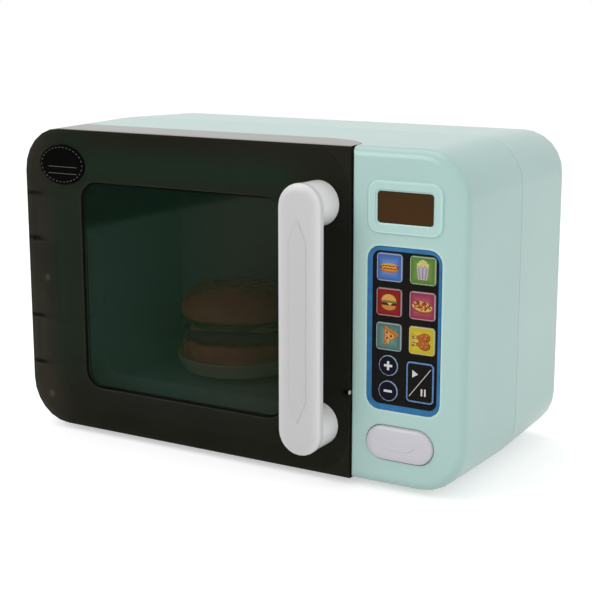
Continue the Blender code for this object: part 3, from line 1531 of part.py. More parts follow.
def make_key_mat():
    """One rubber sheet with a dome behind each key."""
    width = PAD_WIDTH - 2 * MAT_MARGIN
    height = PAD_HEIGHT - 2 * MAT_MARGIN
    outline = rounded((PAD_X, PAD_Z), width, height, PAD_RADIUS - MAT_MARGIN)
    item = front_plate("key_mat", [outline], MAT_FRONT, MAT_FRONT + MAT_THICK)
    for name, place, size, radius in key_shapes():
        start = (place[0], DOME_FRONT, place[1])
        tip = DOME_RADIUS * DOME_TOP_SHARE
        dome = rod(name + "_dome", tip, start, DOME_HEIGHT + MELD, "Y", DOME_STEPS, DOME_RADIUS)
        join(item, dome)
    return place_part(item, paint("mat_rubber", (0.55, 0.55, 0.52), 0.7), base, (PAD_X, MAT_FRONT, PAD_Z))


def make_control_board():
    """The circuit board, cut away round the display block, with a chip on its back."""
    half_width = BOARD_WIDTH / 2
    item = box(
        "control_board",
        (PAD_X - half_width, BOARD_FRONT, BOARD_LOW),
        (PAD_X + half_width, BOARD_FRONT + BOARD_THICK, BOARD_HIGH),
    )
    half_module = MODULE_WIDTH / 2 + SEAT
    half_tall = MODULE_HEIGHT / 2 + SEAT
    hole = box(
        "module_hole",
        (DISPLAY_X - half_module, BOARD_FRONT - OVERRUN, DISPLAY_Z - half_tall),
        (DISPLAY_X + half_module, BOARD_FRONT + BOARD_THICK + OVERRUN, DISPLAY_Z + half_tall),
    )
    cut(item, hole)
    chip = CHIP_SIDE / 2
    back = BOARD_FRONT + BOARD_THICK
    low = (PAD_X - chip, back - MELD, PAD_Z - chip)
    join(item, box("chip", low, (PAD_X + chip, back + BOARD_THICK, PAD_Z + chip)))
    return place_part(item, paint("board_green", (0.02, 0.22, 0.09), 0.4), base, (PAD_X, BOARD_FRONT, PAD_Z))


def button_lozenge(inset):
    """A level lozenge on the button's face, with a point at each end."""
    tall = BUTTON_RELIEF_WIDTH / 2
    half = BUTTON_RELIEF_HEIGHT / 2 - inset
    points = lozenge((0, 0), tall - inset, half, tall - BUTTON_RELIEF_POINT)
    return [(BUTTON_X + z, BUTTON_Z - x) for x, z in points]


def make_release_button():
    """The long white button: a pillowed face with a lozenge, a flange behind the panel and a stem."""

    def ring(inset, depth):
        tall = BUTTON_HEIGHT - 2 * inset
        return rounded((BUTTON_X, BUTTON_Z), BUTTON_WIDTH - 2 * inset, tall, tall / 2, BUTTON_STEPS), depth

    flange_front = WALL + SEAT
    flange_back = flange_front + BUTTON_FLANGE_THICK
    rings = []
    for inward, deeper in quarter(FILLET_STEPS):
        rings.append(ring(BUTTON_ROLL * inward, BUTTON_CROWN * deeper - BUTTON_RISE))
    rings += [ring(0, flange_front), ring(-BUTTON_FLANGE, flange_front), ring(-BUTTON_FLANGE, flange_back)]
    item = loft("release_button", rings)
    relief = [
        (button_lozenge(BUTTON_RELIEF_RISE), -BUTTON_RISE - BUTTON_RELIEF_RISE),
        (button_lozenge(0), MELD - BUTTON_RISE),
    ]
    join(item, loft("button_relief", relief))
    tip_y = LEVER_Y - LEVER_ARM_WIDTH / 2 - SEAT
    stem = box(
        "button_stem",
        (BUTTON_X - STEM_WIDTH / 2, flange_back - MELD, BUTTON_Z - STEM_HEIGHT / 2),
        (BUTTON_X + STEM_WIDTH / 2, tip_y - STEM_TIP, BUTTON_Z + STEM_HEIGHT / 2),
    )
    join(item, stem)
    low = BUTTON_Z - STEM_HEIGHT / 2
    tip = rod("stem_tip", STEM_TIP, (BUTTON_X, tip_y - STEM_TIP, low), STEM_HEIGHT, "Z")
    join(item, tip)
    return place_part(item, white_plastic(), button_axis)


def spiral(name, radius, wire, turns, start, end, place, axis, fine=1):
    """A coil of round wire between two levels on an axis."""
    per_turn = COIL_STEPS
    count = turns * per_turn
    curve = bpy.data.curves.new(name, "CURVE")
    curve.dimensions = "3D"
    curve.bevel_depth = wire
    curve.bevel_resolution = fine
    curve.use_fill_caps = True
    spline = curve.splines.new("POLY")
    spline.points.add(count)
    for k, point in enumerate(spline.points):
        angle = 2 * math.pi * k / per_turn
        level = start + (end - start) * k / count
        point.co = (radius * math.cos(angle), radius * math.sin(angle), level, 1)
    item = settle(new_object(name, curve))
    item.data.transform(Matrix.Translation(place) @ turn_to(axis))
    return item


def make_button_spring():
    """The coil between the button's flange and its seat."""
    start = WALL + SEAT + BUTTON_FLANGE_THICK + SEAT + SPRING_WIRE
    end = SPRING_SEAT_Y - SEAT - SPRING_WIRE
    place = (BUTTON_X, 0, BUTTON_Z)
    item = spiral("button_spring", SPRING_RADIUS, SPRING_WIRE, SPRING_TURNS, start, end, place, "Y")
    return place_part(item, steel(), base, place)


def make_latch_lever():
    """A bell crank: the stem pushes its lower arm back and the upper arm draws the nib in."""
    height = LEVER_HIGH - LEVER_LOW
    item = rod("latch_lever", LEVER_HUB_RADIUS, (LEVER_X, LEVER_Y, LEVER_LOW), height, "Z")
    half = LEVER_ARM_WIDTH / 2
    lower = box(
        "lower_arm",
        (LEVER_X, LEVER_Y - half, LEVER_LOW),
        (BUTTON_X + STEM_WIDTH / 2, LEVER_Y + half, LEVER_LOW + STEM_HEIGHT),
    )
    join(item, lower)
    arm_low = LATCH_Z - LEVER_ARM_THICK / 2
    shaft_left = ZONE_RIGHT + WALL + NIB_CLEAR
    upper = [
        (ZONE_RIGHT - NIB_REACH, NIB_Y),
        (shaft_left + LEVER_ARM_WIDTH, NIB_Y),
        (LEVER_X + half, LEVER_Y),
        (LEVER_X - half, LEVER_Y),
        (shaft_left, NIB_Y + NIB_LENGTH + NIB_CLEAR),
        (shaft_left, NIB_Y + NIB_LENGTH),
        (ZONE_RIGHT - NIB_REACH / 2, NIB_Y + NIB_LENGTH),
        (ZONE_RIGHT - NIB_REACH, NIB_Y + NIB_LENGTH / 2),
    ]
    join(item, plan_plate("upper_arm", [upper], arm_low, arm_low + LEVER_ARM_THICK))
    bore = LEVER_PIN_RADIUS + RUNNING_GAP
    start = (LEVER_X, LEVER_Y, LEVER_LOW - OVERRUN)
    cut(item, rod("lever_bore", bore, start, height + 2 * OVERRUN, "Z"))
    return place_part(item, white_plastic(), lever_axis)


def make_lever_pin():
    """The pin that the latch lever turns on."""
    low = LEVER_LOW - SEAT - BRACKET_THICK
    high = LEVER_HIGH + SEAT + BRACKET_THICK
    item = rod("lever_pin", LEVER_PIN_RADIUS, (LEVER_X, LEVER_Y, low), high - low, "Z")
    return place_part(item, steel(), base, (LEVER_X, LEVER_Y, low))


def bay_front():
    """Depth at which the battery bay's floor lies."""
    return REAR_INSIDE - SEAT - BAY_FLANGE_THICK - 2 * CELL_RADIUS - BAY_CLEAR - BAY_WALL


def make_battery_box():
    """An open tub behind the lid, with a flange on the rear wall and a boss for the lid's screw."""
    centre = (BAY_X, BAY_Z)
    front = bay_front()
    back = REAR_INSIDE - SEAT
    step = back - BAY_FLANGE_THICK
    outer = rounded(centre, BAY_WIDTH + 2 * BAY_WALL, BAY_HEIGHT + 2 * BAY_WALL, LID_CORNER)
    inner = rounded(centre, BAY_WIDTH, BAY_HEIGHT, LID_CORNER - BAY_WALL)
    flange = lid_outline(BAY_FLANGE)
    rings = [(outer, front), (outer, step), (flange, step), (flange, back), (inner, back)]
    rings.append((inner, front + BAY_WALL))
    item = loft("battery_box", rings)
    x, z = LID_SCREW_SPOT
    length = SCREW_SHANK_LENGTH
    boss = rod("lid_boss", SCREW_POST_RADIUS, (x, back - length, z), length - MELD, "Y")
    join(item, boss)
    pilot = SCREW_SHANK_RADIUS + SEAT
    cut(item, rod("lid_pilot", pilot, (x, back - length + BAY_WALL, z), length + OVERRUN, "Y"))
    return place_part(item, black_plastic(), base, (BAY_X, front, BAY_Z))


def cell_rows():
    """Heights of the cells and the way each one points."""
    middle = (CELL_COUNT - 1) / 2
    for index in range(CELL_COUNT):
        yield index, BAY_Z + (index - middle) * CELL_PITCH, 1 if index % 2 == 0 else -1


def make_batteries():
    """Three round cells side by side, each with a coil at one end and a strip at the other."""
    depth = bay_front() + BAY_WALL + SEAT + CELL_RADIUS
    tip = CELL_TIP_LENGTH
    for index, z, way in cell_rows():
        half = CELL_LENGTH / 2
        crimp = CELL_TIP_LENGTH / 2
        profile = [
            (0, half + tip),
            (CELL_TIP_RADIUS, half + tip),
            (CELL_TIP_RADIUS, half),
            (CELL_RADIUS - crimp, half),
            (CELL_RADIUS, half - crimp),
            (CELL_RADIUS, -half + crimp),
            (CELL_RADIUS - crimp, -half),
            (0, -half),
        ]
        item = turned(f"battery_{index + 1}", profile, (0, 0, 0), "Z", PIN_STEPS)
        item.data.transform(Matrix.Rotation(math.radians(90 * way), 4, "Y"))
        item.data.transform(Matrix.Translation((BAY_X, depth, z)))
        place_part(item, paint("cell_wrap", (0.10, 0.10, 0.11), 0.35, 0.4), base, (BAY_X, depth, z))
        outer = BAY_WIDTH / 2 - SEAT
        near = half + SEAT + SPRING_WIRE
        start, end = (-outer + SPRING_WIRE, -near)
        spring = spiral(
            f"contact_spring_{index + 1}",
            CELL_TIP_RADIUS,
            SPRING_WIRE,
            CONTACT_TURNS,
            start * way,
            end * way,
            (BAY_X, depth, z),
            "X",
            0,
        )
        place_part(spring, steel(), base, (BAY_X, depth, z))
        face = half + tip + SEAT
        thick = CONTACT_THICK
        ends = sorted((way * (outer - thick), way * outer))
        knob = sorted((way * face, way * (outer - thick + MELD / 2)))
        tall = CELL_RADIUS - BAY_CLEAR
        contact = box(
            f"contact_plate_{index + 1}",
            (BAY_X + ends[0], depth - tall, z - tall),
            (BAY_X + ends[1], depth + tall, z + tall),
        )
        start = (BAY_X + knob[0], depth, z)
        dimple = rod(f"contact_dimple_{index + 1}", CELL_TIP_RADIUS, start, knob[1] - knob[0], "X")
        join(contact, dimple)
        place_part(contact, steel(), base, (BAY_X, depth, z))


def make_battery_door():
    """The lid, flush with the rear wall, with finger ridges and a hole for its screw."""
    face = REAR_INSIDE
    item = front_plate("battery_door", [lid_outline(0)], face, BODY_DEPTH)
    x, z = LID_SCREW_SPOT
    hole = SCREW_SHANK_RADIUS + SEAT
    cut(item, rod("lid_hole", hole, (x, face - OVERRUN, z), WALL + 2 * OVERRUN, "Y"))
    sink = SCREW_HEAD_RADIUS + SEAT
    cut(item, rod("lid_sink", sink, (x, face + LID_WEB, z), WALL + OVERRUN, "Y"))
    for index in range(LID_GROOVE_COUNT):
        level = BAY_Z - BAY_HEIGHT / 2 + LID_GRIP - index * GRILLE_PITCH
        outline = rounded((BAY_X, level), 2 * LID_GRIP, LID_GROOVE, LID_GROOVE / 2, EDGE_STEPS)
        groove = front_plate(f"lid_groove_{index}", [outline], BODY_DEPTH - LID_WEB, BODY_DEPTH + OVERRUN)
        cut(item, groove)
    axis = new_empty("battery_door_axis", (BAY_X, face, BAY_Z), base)
    place_part(item, mint_plastic(), axis)
    place = (x, face + LID_WEB + SEAT, z)
    screw = pan_screw(
        "battery_door_screw",
        SCREW_SHANK_RADIUS,
        LID_SCREW_LENGTH,
        SCREW_HEAD_RADIUS,
        LID_SCREW_HEAD,
        place,
        -1,
    )
    place_part(screw, steel(), axis, place)


def make_rear_screws():
    """The four case screws, deep in their tubes."""
    for index, (x, z) in enumerate(screw_spots()):
        place = (x, SCREW_JOINT_Y + SCREW_TUBE_WALL + SEAT, z)
        item = pan_screw(
            f"rear_cover_screw_{index + 1}",
            SCREW_SHANK_RADIUS,
            SCREW_SHANK_LENGTH,
            SCREW_HEAD_RADIUS,
            SCREW_HEAD_THICK,
            place,
            -1,
        )
        place_part(item, steel(), base, place)


def make_speaker():
    """A small round speaker behind the grille."""
    back = REAR_INSIDE - SEAT
    profile = [
        (0, -SPEAKER_DEPTH),
        (MAGNET_RADIUS, -SPEAKER_DEPTH),
        (MAGNET_RADIUS, -MAGNET_DEPTH),
        (SPEAKER_RADIUS, -BASKET_DEPTH),
        (SPEAKER_RADIUS, 0),
        (SPEAKER_RADIUS - SPEAKER_RING, 0),
        (CONE_RADIUS, -CONE_DEPTH),
        (0, CONE_CAP - CONE_DEPTH),
    ]
    item = turned("speaker", list(reversed(profile)), (SPEAKER_X, back, SPEAKER_Z), "Y", DISC_STEPS)
    return place_part(item, black_plastic(), base, (SPEAKER_X, back, SPEAKER_Z))


def make_power_switch():
    """The sliding knob in its slot and the switch body that it runs on."""
    back = REAR_INSIDE - SLIDE_GAP
    start_x = SWITCH_X - SWITCH_TRAVEL / 2
    half_width = SWITCH_KNOB_WIDTH / 2
    half_height = SWITCH_KNOB_HEIGHT / 2
    knob = box(
        "power_switch",
        (start_x - half_width, back - MELD, SWITCH_Z - half_height),
        (start_x + half_width, BODY_DEPTH + SWITCH_KNOB_RISE, SWITCH_Z + half_height),
    )
    tall = half_height + SLIDE_GAP
    flange = box(
        "switch_flange",
        (start_x - half_width - SWITCH_FLANGE, back - SWITCH_FLANGE_THICK, SWITCH_Z - tall),
        (start_x + half_width + SWITCH_FLANGE, back, SWITCH_Z + tall),
    )
    join(knob, flange)
    place_part(knob, black_plastic(), switch_axis)
    front = back - SWITCH_FLANGE_THICK - SLIDE_GAP
    body = box(
        "power_switch_body",
        (SWITCH_X - SWITCH_BODY_WIDTH / 2, front - SWITCH_BODY_DEPTH, SWITCH_Z - SWITCH_BODY_HEIGHT / 2),
        (SWITCH_X + SWITCH_BODY_WIDTH / 2, front, SWITCH_Z + SWITCH_BODY_HEIGHT / 2),
    )
    place_part(body, steel(), base, (SWITCH_X, front, SWITCH_Z))


def make_feet():
    """Four rubber feet, set in from the edges."""
    spots = [(side * FOOT_X, depth) for depth in (FOOT_FRONT_Y, FOOT_REAR_Y) for side in (-1, 1)]
    for index, (x, depth) in enumerate(spots):
        low = -FOOT_DROP
        if depth <= FRONT_DEPTH:
            rise = PARTING_RISE * (depth + FOOT_RADIUS) / FRONT_DEPTH
        else:
            rise = PARTING_RISE - REAR_TOP_TAPER * (depth - FOOT_RADIUS - FRONT_DEPTH) / REAR_DEPTH
        top = -rise - SEAT
        profile = [
            (0, top),
            (FOOT_RADIUS, top),
            (FOOT_RADIUS, low + FOOT_ROUND),
            (FOOT_RADIUS - FOOT_ROUND, low),
            (0, low),
        ]
        item = turned(f"foot_{index + 1}", profile, (x, depth, 0), "Z", PIN_STEPS)
        place_part(item, paint("foot_rubber", (0.05, 0.05, 0.05), 0.8), base, (x, depth, low))


def build_all():
    """Build every piece, from the case inwards."""
    make_front_housing()
    make_rear_cover()
    make_cavity_liner()
    make_cavity_lamp()
    make_turntable_motor()
    make_turntable_coupler()
    make_turntable_plate()
    make_burger()
    make_door_shell()
    make_handle()
    make_handle_screws()
    make_door_badge()
    make_hinge_pins()
    make_display()
    make_keypad()
    make_control_board()
    make_release_button()
    make_button_spring()
    make_latch_lever()
    make_lever_pin()
    make_battery_box()
    make_batteries()
    make_battery_door()
    make_rear_screws()
    make_speaker()
    make_power_switch()
    make_feet()


clear_scene()
parts = new_collection(ASSEMBLY)
cutters = new_collection("cutters")
base = new_empty("base_frame", (0, 0, 0))
base.location = (0, SHIFT_Y, FOOT_DROP)
door_axis = new_empty("door_axis", (HINGE_X, HINGE_Y, 0), base)
table_axis = new_empty("table_axis", (TABLE_X, TABLE_Y, 0), base)
button_axis = new_empty("button_axis", (BUTTON_X, 0, BUTTON_Z), base)
lever_axis = new_empty("lever_axis", (LEVER_X, LEVER_Y, 0), base)
switch_axis = new_empty("switch_axis", (SWITCH_X - SWITCH_TRAVEL / 2, BODY_DEPTH, SWITCH_Z), base)
build_all()
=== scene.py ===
import json
import math

import bpy
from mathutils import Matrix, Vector

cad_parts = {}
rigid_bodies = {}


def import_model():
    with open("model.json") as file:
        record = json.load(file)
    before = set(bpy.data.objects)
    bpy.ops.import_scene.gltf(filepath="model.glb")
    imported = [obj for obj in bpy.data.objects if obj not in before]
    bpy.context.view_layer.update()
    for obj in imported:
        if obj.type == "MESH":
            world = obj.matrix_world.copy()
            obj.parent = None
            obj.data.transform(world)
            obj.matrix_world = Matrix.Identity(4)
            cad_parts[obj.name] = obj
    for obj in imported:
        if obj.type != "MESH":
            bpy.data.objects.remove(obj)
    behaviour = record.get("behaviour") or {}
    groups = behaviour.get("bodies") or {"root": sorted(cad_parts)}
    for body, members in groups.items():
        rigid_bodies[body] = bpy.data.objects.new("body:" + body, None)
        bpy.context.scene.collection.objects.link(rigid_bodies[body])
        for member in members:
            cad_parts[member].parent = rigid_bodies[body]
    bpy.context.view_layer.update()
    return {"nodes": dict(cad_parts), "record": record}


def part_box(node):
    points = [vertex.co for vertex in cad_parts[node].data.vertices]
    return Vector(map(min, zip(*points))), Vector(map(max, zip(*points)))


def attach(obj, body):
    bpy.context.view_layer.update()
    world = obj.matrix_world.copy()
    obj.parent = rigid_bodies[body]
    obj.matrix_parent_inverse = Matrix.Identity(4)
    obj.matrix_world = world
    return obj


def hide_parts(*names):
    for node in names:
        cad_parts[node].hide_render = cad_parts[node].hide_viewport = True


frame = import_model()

RECORD = frame["record"]
BODY_OF = {node: body for body, nodes in RECORD["behaviour"]["bodies"].items() for node in nodes}
SLOT_OF = {piece["node"]: piece["material_slot"] for piece in RECORD["subparts"]}

# Lengths are in metres, apart from the pictures' own, which are in millimetres.
# A place given as across and up is in the case's own frame, which sits here in the frame of the whole.
CASE_Y = -0.0617
CASE_Z = 0.0040

# Camera, from the photograph's perspective.
CAMERA_PLACE = (0.4347, -0.7093, 0.2682)
CAMERA_TARGET = (0.01083, -0.0017, 0.09622)
CAMERA_ROLL = -0.06
CAMERA_LENS = 83.83
CAMERA_SENSOR = 36
CAMERA_SHIFT = (-0.0010, -0.0158)
CAMERA_CLIP = (0.05, 20)

# Lamps: name, place, target, size, power, and whether it shows in reflections.
LAMPS = (
    ("soft_front_left", (-0.9, -1.3, 1.1), (0, 0, 0.09), 1.2, 11, True),
    ("low_front_right", (1.20, -1.00, 0.50), (0, 0, 0.09), 0.9, 6.6, False),
    ("soft_top", (-0.3, 0.3, 1.6), (0, 0, 0.15), 1.2, 5, True),
)

# The studio's white: its light on the object, its strength where the camera sees it, and the paper.
ROOM_LIGHT = 0.62
ROOM_SEEN = 1.0
PAPER_WHITE = (0.80, 0.80, 0.80)
PAPER_SIZE = 8
PAPER_LIFT = 0.48

# Colours of the plastics. The bun's crust gives way to its crumb on its steep sides.
MINT = (0.352, 0.524, 0.490)
WHITE = (0.585, 0.580, 0.588)
# The next two are painted light: the handle's flanks and its posts painted brighter than its face.
FLANK_PAINTED_LIGHT = (0.670, 0.650, 0.645)
POST_PAINTED_LIGHT = (0.880, 0.860, 0.860)
BUTTON_WHITE = (0.525, 0.510, 0.555)
INNER_BLACK = (0.020, 0.020, 0.021)
LENS_BROWN = (0.050, 0.023, 0.0065)
BADGE_BLACK = (0.0018, 0.0018, 0.0016)
BOARD_GREEN = (0.015, 0.130, 0.060)
BUN = (0.550, 0.100, 0.044)
CRUMB = ((0.58, 0.19, 0.080), (0.66, 0.25, 0.105))
CRUMB_SLOPE = 0.55
CRUMB_SHARE = 0.55

# Colours of the smoked door.
FRAME_SMOKE = (0.0142, 0.0138, 0.0092)
# The next two are painted light: a soft reflection along the hinge, and highlights on the bosses beside
# it.
HINGE_REFLECTION = (0.0385, 0.0345, 0.0240)
BOSS_HIGHLIGHT = (0.0900, 0.0850, 0.0680)
GREEN_SMOKE = (0.0110, 0.0225, 0.0125)
WINDOW_SMOKE = (0.0060, 0.0210, 0.0100)
WARM_SMOKE = (0.0160, 0.0220, 0.0110)
# Painted shade over the window's upper part.
WINDOW_PAINTED_SHADE = (0.0005, 0.0085, 0.0032)
# A painted sheen on the door's top edge.
DOOR_TOP_SHEEN = (0.225, 0.220, 0.204)

# Colours of the keypad's print. A tile's border takes a share of the pale one and a tint of its glow.
BLUE = (0.036, 0.150, 0.325)
INK = (0.0075, 0.0070, 0.0060)
NAVY = (0.0055, 0.0062, 0.0120)
BORDER = (0.315, 0.312, 0.335)
BORDER_SHARE = 0.68
BORDER_TINT = 0.45
LAVENDER = (0.235, 0.310, 0.440)
PLAY_BLUE = (0.110, 0.215, 0.390)
STITCH_WHITE = (0.150, 0.146, 0.136)

# Each tile's field, and its glow in the middle.
TILES = {
    "key_hot_dog": ((0.045, 0.100, 0.300), (0.135, 0.250, 0.500)),
    "key_popcorn": ((0.075, 0.160, 0.022), (0.180, 0.290, 0.075)),
    "key_burger": ((0.175, 0.010, 0.009), (0.255, 0.028, 0.020)),
    "key_pie": ((0.225, 0.026, 0.056), (0.370, 0.100, 0.145)),
    "key_pizza": ((0.056, 0.128, 0.112), (0.140, 0.250, 0.215)),
    "key_chicken": ((0.430, 0.340, 0.015), (0.560, 0.470, 0.070)),
}

# Grains per metre of flow tones and of uneven gloss in moulded plastic.
FLOW_GRAIN = 14
GLOSS_GRAIN = 12

# Reliefs: grains per metre, height and strength.
MOULD_WAVES = ((22, 0.000020, 0.3),)
PRINT_GRAIN = ((1400, 0.000001, 0.3),)
INK_GRAIN = ((1800, 0.000001, 0.3),)

# How far behind the door's face the painted light on the handle's flanks and on its posts begins.
FLANK_LIGHT_DEPTH = (-0.0240, -0.0215)
POST_LIGHT_DEPTH = (-0.0195, -0.0150)

# Painted highlights where the panel's two raised borders show paler:
# outline, corner radius, nearest and farthest distance from it, and lift.
BEZEL_OUTLINE = ((0.0919, 0.1359), (0.1417, 0.1703))
PAINTED_EDGE_HIGHLIGHTS = (
    (((0.0918, 0.1356), (0.0440, 0.1346)), 0.0072, 0.0001, 0.0013, 1.16),
    (BEZEL_OUTLINE, 0.0060, -0.0066, -0.0004, 1.07),
    (BEZEL_OUTLINE, 0.0060, -0.0012, 0.0002, 1.20),
)
EDGE_HIGHLIGHT_DEPTH = (0.0020, 0.0040)
EDGE_HIGHLIGHT_SOFT = (0.0004, 0.0006)

# The keypad's film: its black field within the blue border, and how soft a printed edge is.
PAD_INNER = ((0.0948, 0.1341), (0.0473, 0.1325))
PAD_INNER_ROUND = 0.0048
PRINT_EDGE = 0.00012

# The keys: the flange hidden under the film, the tiles' print and the drawn outlines.
KEY_FLANGE = 0.0006
TILE_BORDER = 0.0006
TILE_ROUND = 0.0012
TILE_GLOW_REACH = 0.95
OUTLINE_INSET = 0.0001
SIGN_LINE = 0.0005
PLAY_LINE = 0.0009
PLAY_ROUND = 0.0026

# Ink on the keys: how deep it is rooted, how thick it is, and what share each further shape adds.
INK_ROOT = 0.00004
INK_LAYER = 0.00003
INK_STEP = 0.5

# A picture's shape starts one millimetre across, so its size in millimetres is also its scale.
SHAPE_RADIUS = 0.0005

# The stitched ring and the plain lines on the door's badge.
STITCH_RING = (-0.1198, 0.1654)
STITCH_REACH = (0.0158, 0.0106)
STITCH_COUNT = 30
STITCH_SIZE = (0.00105, 0.00016, 0.00038)
STITCH_ROUND = 0.00008
OVAL_STEPS = 3600
BADGE_LINES = ((-0.1192, 0.1641), (-0.1193, 0.1600))
BADGE_LINE_SIZE = (0.0220, 0.00014, 0.00024)
BADGE_LINE_ROUND = 0.00006

# Seeds on the play bun: their rings, the drop that finds the bun, and how unevenly they lie.
SEED_SIZE = (0.0030, 0.0017, 0.0011)
SEED_RINGS = ((0.0, 1), (0.0085, 6), (0.0165, 11), (0.0235, 14))
SEED_DROP = 0.020
SEED_STAGGER = 90
SEED_TURN = 5

# The door's own outline, and where its denser rim begins.
DOOR_FIELD = ((-0.1500, 0.0810), (0.0, 0.1873))
DOOR_ROUND = 0.0260
RIM_START = -0.0022
RIM_SOFT = 0.0018

# The clear field of the door's window, and the painted shade of the crease and the painted highlight of
# the lip round it.
WINDOW_FIELD = ((-0.1057, 0.0367), (0.02805, 0.15495))
WINDOW_ROUND = 0.0107
WINDOW_SOFT = 0.00015
WINDOW_CREASE = 0.0011
WINDOW_LIP = 0.0017

# Painted shadows where the hinge's knuckles show dark through the door: heights, soft width and reach
# across.
KNUCKLE_LINES = (0.1464, 0.1180, 0.0685, 0.0383)
KNUCKLE_WIDTH = (0.0005, 0.0021)
KNUCKLE_REACH = (-0.142, -0.134)

# Painted highlights on the pale bosses that show through the smoked plastic beside the hinge, and where
# their edges fade.
BOSSES = ((-0.1350, 0.0936), (-0.1355, 0.0180))
BOSS_FADE = (0.00105, 0.00294)
BOSS_SHARE = 0.6

# The catch at the door's right edge: its white end, and the painted shade of the dark pocket behind the
# smoked plastic.
CATCH_TIP = (0.0808, 0.0007, 0.0503)
CATCH_TIP_SIZE = (0.0009, 0.0018, 0.0021)
CATCH_TIP_ROUND = 0.0002
POCKET_FIELD = ((0.0769, 0.0801), (0.0488, 0.0518))
POCKET_ROUND = 0.0004
POCKET_SOFT = 0.0003

# The door's shades. Each pair is where a soft edge starts and where it ends.
# The painted soft reflection in a warm strip along the hinge, its share left at the top, and its least
# share where it is blotchy.
HINGE_ACROSS = (-0.142, -0.112)
HINGE_UP = (0.020, 0.110)
HINGE_TOP_SHARE = 0.6
HINGE_LEAST = 0.55
# The green glow over the window, and the weaker one between hinge and window.
GLOW_UP = (0.145, 0.168)
GLOW_REACH = (0.012, 0.030)
BESIDE_LEFT = (-0.140, -0.128)
BESIDE_RIGHT = (-0.108, -0.090)
BESIDE_UP = (0.020, 0.050)
BESIDE_SHARE = 0.6
# The window's warm right side, and the painted shade of its upper part over a leaning line.
WARM_ACROSS = (-0.055, 0.015)
DEEP_LEAN = 0.245
DEEP_UP = (0.149, 0.157)
# The painted sheen on the door's top, where it faces up.
SHEEN_UP = (0.176, 0.181)
SHEEN_SLOPE = (0.75, 0.97)

# How bright the door's painted shadows, painted shade and painted highlight are beside its frame.
KNUCKLE_SHADOW = 0.3
CREASE_SHADE = 0.10
LIP_HIGHLIGHT = 2.6
POCKET_SHADE = 0.12

# How opaque the door's zones are.
WINDOW_ALPHA = 0.525
DEEP_ALPHA = 0.80
FRAME_ALPHA = 0.76
CREASE_ALPHA = 0.93
RIM_ALPHA = 0.98

# Soft edges, for the pieces whose edges show.
EDGES = {
    "front_housing": 0.0003,
    "door_handle": 0.0004,
    "release_button": 0.0003,
    "display_lens": 0.0002,
    "door_badge": 0.0002,
    "turntable_plate": 0.0004,
}
SHARP_ANGLE = math.radians(35)
FLAT_ANGLE = math.radians(0.4)
MERGE_DISTANCE = 0.00001

# Pieces that keep the frame's own mesh.
PLAIN = ("button_spring",)


def add_node(owner, kind, **settings):
    """One node in a material or a world."""
    node = owner.node_tree.nodes.new(kind)
    for key, value in settings.items():
        setattr(node, key, value)
    return node


def wire(owner, source, target):
    owner.node_tree.links.new(source, target)


def shader_of(made):
    return made.node_tree.nodes["Principled BSDF"]


def new_finish(name, colour, roughness, **sockets):
    """A Principled material whose plain values are set on its own sockets."""
    made = bpy.data.materials.new(name)
    made.use_nodes = True
    shader = shader_of(made)
    shader.inputs["Base Color"].default_value = (*colour, 1)
    shader.inputs["Roughness"].default_value = roughness
    for socket, value in sockets.items():
        shader.inputs[socket.replace("_", " ")].default_value = value
    return made


def paint(made, tone):
    """Gives a finish a colour that changes over the surface."""
    wire(made, tone, shader_of(made).inputs["Base Color"])


def maths(owner, operation, first, second=None, *others):
    """Numbers or outputs joined by one operation. More than two are joined one after another."""
    node = add_node(owner, "ShaderNodeMath", operation=operation)
    for socket, value in zip(node.inputs, (first, second)):
        if isinstance(value, (int, float)):
            socket.default_value = value
        elif value is not None:
            wire(owner, value, socket)
    result = node.outputs[0]
    return maths(owner, operation, result, *others) if others else result


def axes(made, vector):
    """A vector's X, Y and Z, each as an output of its own."""
    node = add_node(made, "ShaderNodeSeparateXYZ")
    wire(made, vector, node.inputs[0])
    return node.outputs


def coordinates(made):
    """Object coordinates, so that a pattern stays at its real size."""
    return add_node(made, "ShaderNodeTexCoord").outputs["Object"]


def case_place(made):
    """Across and up, in the case's own frame."""
    place = axes(made, coordinates(made))
    return place["X"], maths(made, "SUBTRACT", place["Z"], CASE_Z)


def case_depth(made):
    """How far a point lies behind the case's own origin. In front of it is negative."""
    return maths(made, "SUBTRACT", axes(made, coordinates(made))["Y"], CASE_Y)


def upward(made):
    """How far a surface faces up: 1 on top, 0 where it is upright and -1 underneath."""
    return axes(made, add_node(made, "ShaderNodeNewGeometry").outputs["Normal"])["Z"]


def noise(made, per_metre, detail=3):
    """A noise with so many grains to the metre."""
    node = add_node(made, "ShaderNodeTexNoise")
    node.inputs["Scale"].default_value = per_metre
    node.inputs["Detail"].default_value = detail
    wire(made, coordinates(made), node.inputs["Vector"])
    return node.outputs["Fac"]


def spread(made, value, low, high, start=0.3, end=0.7):
    """A smooth step from low to high. Unless told otherwise, it spans a noise's middle range."""
    node = add_node(made, "ShaderNodeMapRange", interpolation_type="SMOOTHSTEP")
    node.inputs["From Min"].default_value = start
    node.inputs["From Max"].default_value = end
    node.inputs["To Min"].default_value = low
    node.inputs["To Max"].default_value = high
    wire(made, value, node.inputs["Value"])
    return node.outputs["Result"]


def rise(made, value, start, end):
    """0 up to the start and 1 from the end on."""
    return spread(made, value, 0, 1, start, end)


def fall(made, value, start, end):
    """1 up to the start and 0 from the end on."""
    return spread(made, value, 1, 0, start, end)


def beyond(made, distance, limit, soft=PRINT_EDGE):
    """1 outside a limit and 0 inside, with a soft edge."""
    return rise(made, distance, limit - soft, limit + soft)


def between(made, distance, near, far, near_soft=PRINT_EDGE, far_soft=PRINT_EDGE):
    """1 between two distances and 0 elsewhere, with soft edges."""
    inner, outer = beyond(made, distance, near, near_soft), beyond(made, distance, far, far_soft)
    return maths(made, "SUBTRACT", inner, outer)


def diagonal(made, sides):
    """The length that two sides span."""
    return maths(made, "SQRT", maths(made, "ADD", *[maths(made, "POWER", side, 2.0) for side in sides]))


